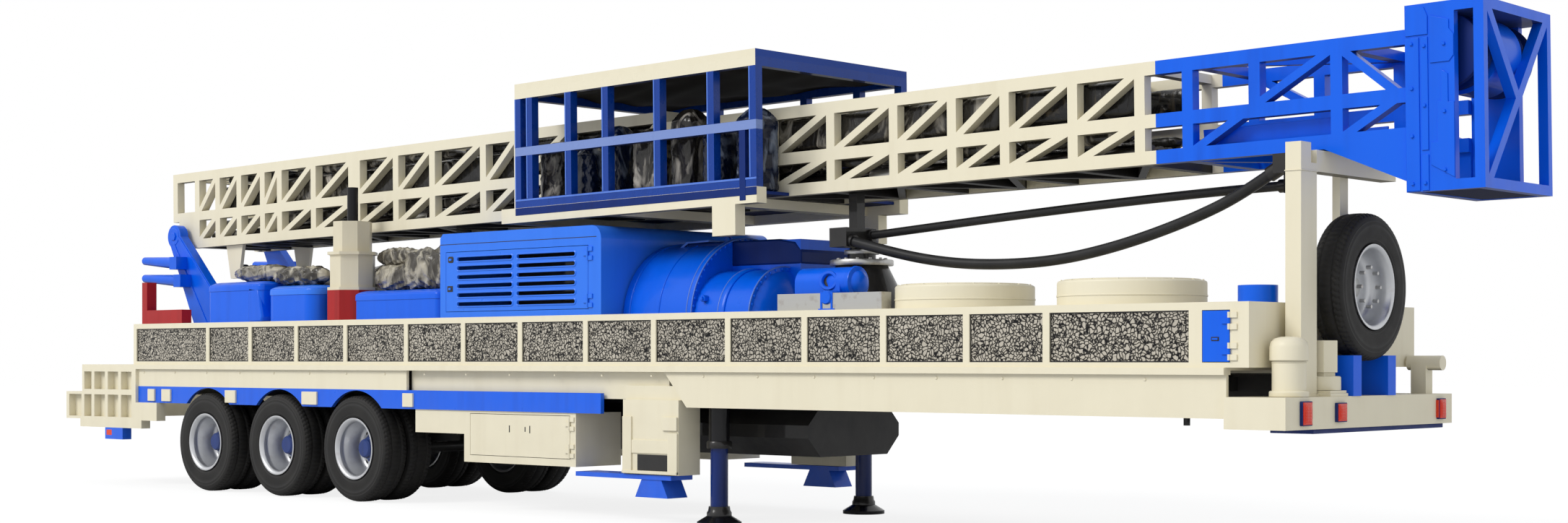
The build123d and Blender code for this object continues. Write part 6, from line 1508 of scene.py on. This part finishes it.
# X and half height; X and length of a pair
CABINET_SLOTS = ((-0.622, 0.032), (-0.404, 0.022), (-0.339, 0.034))
RAIL_BLOCKS = ((-6.64, 0.07), (-6.34, 0.09), (-5.10, 0.10), (-3.69, 0.13), (-2.09, 0.08))
for name, side in SIDES.items():
    latch = side_plate(DOOR_LATCH, side, 0.030, 0.014, 0.002, 1.222, 1.2285)
    piece(f"door_latch_{name}", latch, BLACK, f"access_door_{name}", bevel=0.001)
    latch_plate = side_plate(DOOR_LATCH, side, 0.022, 0.007, 0.002, 1.224, 1.2315)
    piece(f"door_latch_plate_{name}", latch_plate, BLUE, f"access_door_{name}", bevel=0.001)
    # Black strips are painted shade inside the cabinet door's slots.
    slot_shades = [side_plate((x, 0.77), side, 0.006, tall, 0.002, 1.1965, 1.2015)
             for x, tall in CABINET_SLOTS]
    piece(f"cabinet_slot_shades_{name}", join(*slot_shades), BLACK, f"cabinet_door_{name}", smooth=False)
    blocks = []
    for x, half in RAIL_BLOCKS:
        blocks += [side_plate((x - half / 2 - 0.002, 1.015), side, half / 2, 0.066, 0.006, 1.205, 1.228),
                   side_plate((x + half / 2 + 0.002, 1.015), side, half / 2, 0.066, 0.006, 1.205, 1.234)]
    piece(f"rail_blocks_{name}", join(*blocks), CREAM, bevel=0.003)
    skirt_bolts = [rod((x, side * 1.2135, 1.265), (x, side * 1.222, 1.265), 0.011, 6)
                   for x in np.arange(-6.80, 6.80, 0.62)]
    piece(f"skirt_bolts_{name}", join(*skirt_bolts), CREAM, angle=30)

# %% Cooler tops
COOLER_X = (4.16, 5.71)
COOLER_Y, COOLER_TOP = -0.60, 1.985
cooler_trim = []
for x in COOLER_X:
    top = np.array([x, COOLER_Y, COOLER_TOP])
    for ring in (0.50, 0.30, 0.12):
        cooler_trim.append(turned(((ring - 0.008, -0.002), (ring - 0.008, 0.006), (ring, 0.010),
                                   (ring + 0.008, 0.006), (ring + 0.008, -0.002)), top, UP, 64, hoop=True))
    cooler_trim.append(turned(((0.546, -0.120), (0.5535, -0.118), (0.5550, -0.112), (0.5535, -0.106),
                               (0.546, -0.104)),
                              top, UP, 72, hoop=True))
    for turn in np.arange(8) * pi / 4:
        outwards = np.array([cos(turn), sin(turn), 0])
        cooler_trim.append(rod(top + 0.12 * outwards, top + 0.50 * outwards, 0.007, 8))
    cooler_trim += standing_bolts(top, 0.525, 16, COOLER_TOP - 0.002, 0.009, 0.009)
piece("cooler_trim", join(*cooler_trim), CREAM, angle=40)
print("cooler trim", len(cooler_trim))

# %% Painted shade in the panel gaps, and outrigger plates
MULLION_X = np.array([-6.97, -5.53, -4.74, -3.92, -3.09, -2.12, -1.26, -0.45, 0.43, 1.29, 2.17, 3.02, 3.84,
                      4.65, 5.38, 6.61])
PANEL_LOW, PANEL_HIGH = (corner[2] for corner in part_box("side_panels"))
MULLION_HALF = 0.03
# Thin black strips round each panel are painted shade in the gaps at its edges.
GAP_SHADE_WIDTH = 0.009
GAP_SHADE_FACES = (1.2085, 1.2125)
gap_shades = []
for side in (-1, 1):
    for rear, front in zip(MULLION_X[:-1] + MULLION_HALF, MULLION_X[1:] - MULLION_HALF):
        for low, high in (((rear, PANEL_LOW), (rear + GAP_SHADE_WIDTH, PANEL_HIGH)),
                          ((front - GAP_SHADE_WIDTH, PANEL_LOW), (front, PANEL_HIGH)),
                          ((rear + GAP_SHADE_WIDTH, PANEL_LOW), (front - GAP_SHADE_WIDTH, PANEL_LOW + GAP_SHADE_WIDTH)),
                          ((rear + GAP_SHADE_WIDTH, PANEL_HIGH - GAP_SHADE_WIDTH), (front - GAP_SHADE_WIDTH, PANEL_HIGH))):
            gap_shades.append(side_slab(side, low, high, *GAP_SHADE_FACES))
piece("panel_gap_shades", join(*gap_shades), BLACK, smooth=False)
# low (X, Z), high (X, Z), distance out
JACK_PLATES = (((0.915, 0.428), (1.025, 0.915), 1.236), ((1.025, 0.600), (1.470, 0.715), 1.231),
               ((1.470, 0.428), (1.585, 0.780), 1.236), ((1.405, 0.800), (1.585, 0.915), 1.240),
               ((0.915, 0.424), (1.585, 0.450), 1.244))
for name, side in SIDES.items():
    plates = [side_slab(side, low, high, 1.205, out) for low, high, out in JACK_PLATES]
    piece(f"outrigger_plates_{name}", join(*plates), CREAM, bevel=0.003)
    # A black plate is painted shade in the recess between the outrigger plates.
    pocket_shade = side_slab(side, (1.090, 0.452), (1.465, 0.590), 1.21, 1.2215)
    piece(f"outrigger_pocket_shade_{name}", pocket_shade, BLACK, smooth=False)
print("gap_shades", len(gap_shades), "outrigger plates", len(JACK_PLATES))

# %% Below
below, tanks = [], []
for x in AXLE_X:
    for side in (-1, 1):
        start = np.array([x + 0.09, side * 0.33, 0.66])
        below.append(turned(((0.0, 0.0), (0.070, 0.0), (0.084, 0.015), (0.086, 0.085), (0.092, 0.095),
                             (0.092, 0.110), (0.086, 0.120), (0.084, 0.190), (0.066, 0.215), (0.0, 0.220)),
                            start, AHEAD, 32))
        below.append(rod(start + (0.02, 0, -0.01), (x, side * 0.33, 0.575), 0.022, 12))
for side in (-1, 1):
    tanks.append(turned(((0.0, 0.0), (0.07, 0.01), (0.115, 0.04), (0.130, 0.09), (0.130, 1.31), (0.115, 1.36),
                         (0.07, 1.39), (0.0, 1.40)), (-2.25, side * 0.20, 0.84), AHEAD, 40))
    for x in (-2.19, -0.93):
        for low, high in ((-0.134, -0.128), (0.128, 0.134)):
            tanks.append(slab((x - 0.02, side * 0.20 + low, 0.84), (x + 0.02, side * 0.20 + high, 1.19)))
        tanks.append(turned(((0.131, 0.0), (0.134, 0.0), (0.134, 0.04), (0.131, 0.04)),
                            (x - 0.02, side * 0.20, 0.84), AHEAD, 40, hoop=True))
piece("brake_chambers", join(*below), CHASSIS_BLACK, angle=40)
piece("air_tanks", join(*tanks), CHASSIS_BLACK, angle=40)
COLLAR_PROFILES = (
    ((0.085, 0.652), (0.104, 0.652), (0.108, 0.660), (0.108, 0.705), (0.100, 0.715), (0.085, 0.715)),
    ((0.080, 1.120), (0.118, 1.120), (0.122, 1.128), (0.122, 1.160), (0.08, 1.175)),
    ((0.070, 0.080), (0.106, 0.080), (0.106, 0.108), (0.095, 0.125), (0.090, 0.160), (0.070, 0.160)),
)
collars = [turned(profile, (1.81, side * 0.95, 0), UP, 40, hoop=True)
           for side in (-1, 1) for profile in COLLAR_PROFILES]
piece("leg_collars", join(*collars), BLACK, angle=40)
print("brake chambers", 2 * len(AXLE_X), "tanks 2")

# %% [markdown]
# ## The floor and the light
# A pale floor takes the shadow. For the camera it is white, as the photograph's background is, and darkens
# only where the rig shades it. The sky is white to the camera and in reflections, and a plain soft light for
# everything else. One large lamp from the near left models the shapes.

# %% Floor
FLOOR_HALF = 90.0
FLOOR_Z = -0.001
FLOOR_CORNERS = ((-1, -1), (1, -1), (1, 1), (-1, 1))
floor_mesh = bpy.data.meshes.new("floor")
floor_mesh.from_pydata([(x * FLOOR_HALF, y * FLOOR_HALF, FLOOR_Z) for x, y in FLOOR_CORNERS], [],
                       [(0, 1, 2, 3)])
floor = bpy.data.objects.new("floor", floor_mesh)
bpy.context.scene.collection.objects.link(floor)
floor_finish, tree, shader = new_finish("floor_white", 0.9)
shader.inputs["Base Color"].default_value = (0.8, 0.8, 0.8, 1)
glow = add_node(tree, "ShaderNodeEmission")
glow.inputs["Strength"].default_value = 0.84
path = add_node(tree, "ShaderNodeLightPath")
diffuse = add_node(tree, "ShaderNodeBsdfDiffuse")
diffuse.inputs["Color"].default_value = (0.22, 0.22, 0.22, 1)
both = add_node(tree, "ShaderNodeAddShader")
tree.links.new(glow.outputs[0], both.inputs[0])
tree.links.new(diffuse.outputs[0], both.inputs[1])
choice = add_node(tree, "ShaderNodeMixShader")
tree.links.new(path.outputs["Is Camera Ray"], choice.inputs[0])
tree.links.new(shader.outputs[0], choice.inputs[1])
tree.links.new(both.outputs[0], choice.inputs[2])
tree.links.new(choice.outputs[0], tree.nodes["Material Output"].inputs["Surface"])
floor_mesh.materials.append(floor_finish)

# %% Sky and lamp
world = bpy.data.worlds.new("studio")
bpy.context.scene.world = world
world.use_nodes = True
tree = world.node_tree
seen = tree.nodes["Background"]
seen.inputs["Color"].default_value = (1, 1, 1, 1)
seen.inputs["Strength"].default_value = 1.0
soft = add_node(tree, "ShaderNodeBackground")
soft.inputs["Color"].default_value = (0.96, 0.98, 1.0, 1)
soft.inputs["Strength"].default_value = 0.62
path = add_node(tree, "ShaderNodeLightPath")
plain = calculate(tree, "ADD", path.outputs["Is Camera Ray"], path.outputs["Is Transmission Ray"], clamp=True)
plain = calculate(tree, "ADD", plain, calculate(tree, "MULTIPLY", path.outputs["Is Glossy Ray"], 0.85),
                  clamp=True)
choice = add_node(tree, "ShaderNodeMixShader")
tree.links.new(plain, choice.inputs[0])
tree.links.new(soft.outputs[0], choice.inputs[1])
tree.links.new(seen.outputs[0], choice.inputs[2])
tree.links.new(choice.outputs[0], tree.nodes["World Output"].inputs["Surface"])

sun_data = bpy.data.lights.new("key_lamp", "SUN")
sun_data.energy = 1.5
sun_data.angle = radians(24)
sun_data.color = (1.0, 0.985, 0.96)
sun = bpy.data.objects.new("key_lamp", sun_data)
sun.rotation_euler = (radians(52), 0, radians(-22))
bpy.context.scene.collection.objects.link(sun)
bpy.context.scene.view_settings.view_transform = "Standard"
print("floor, sky and lamp made")
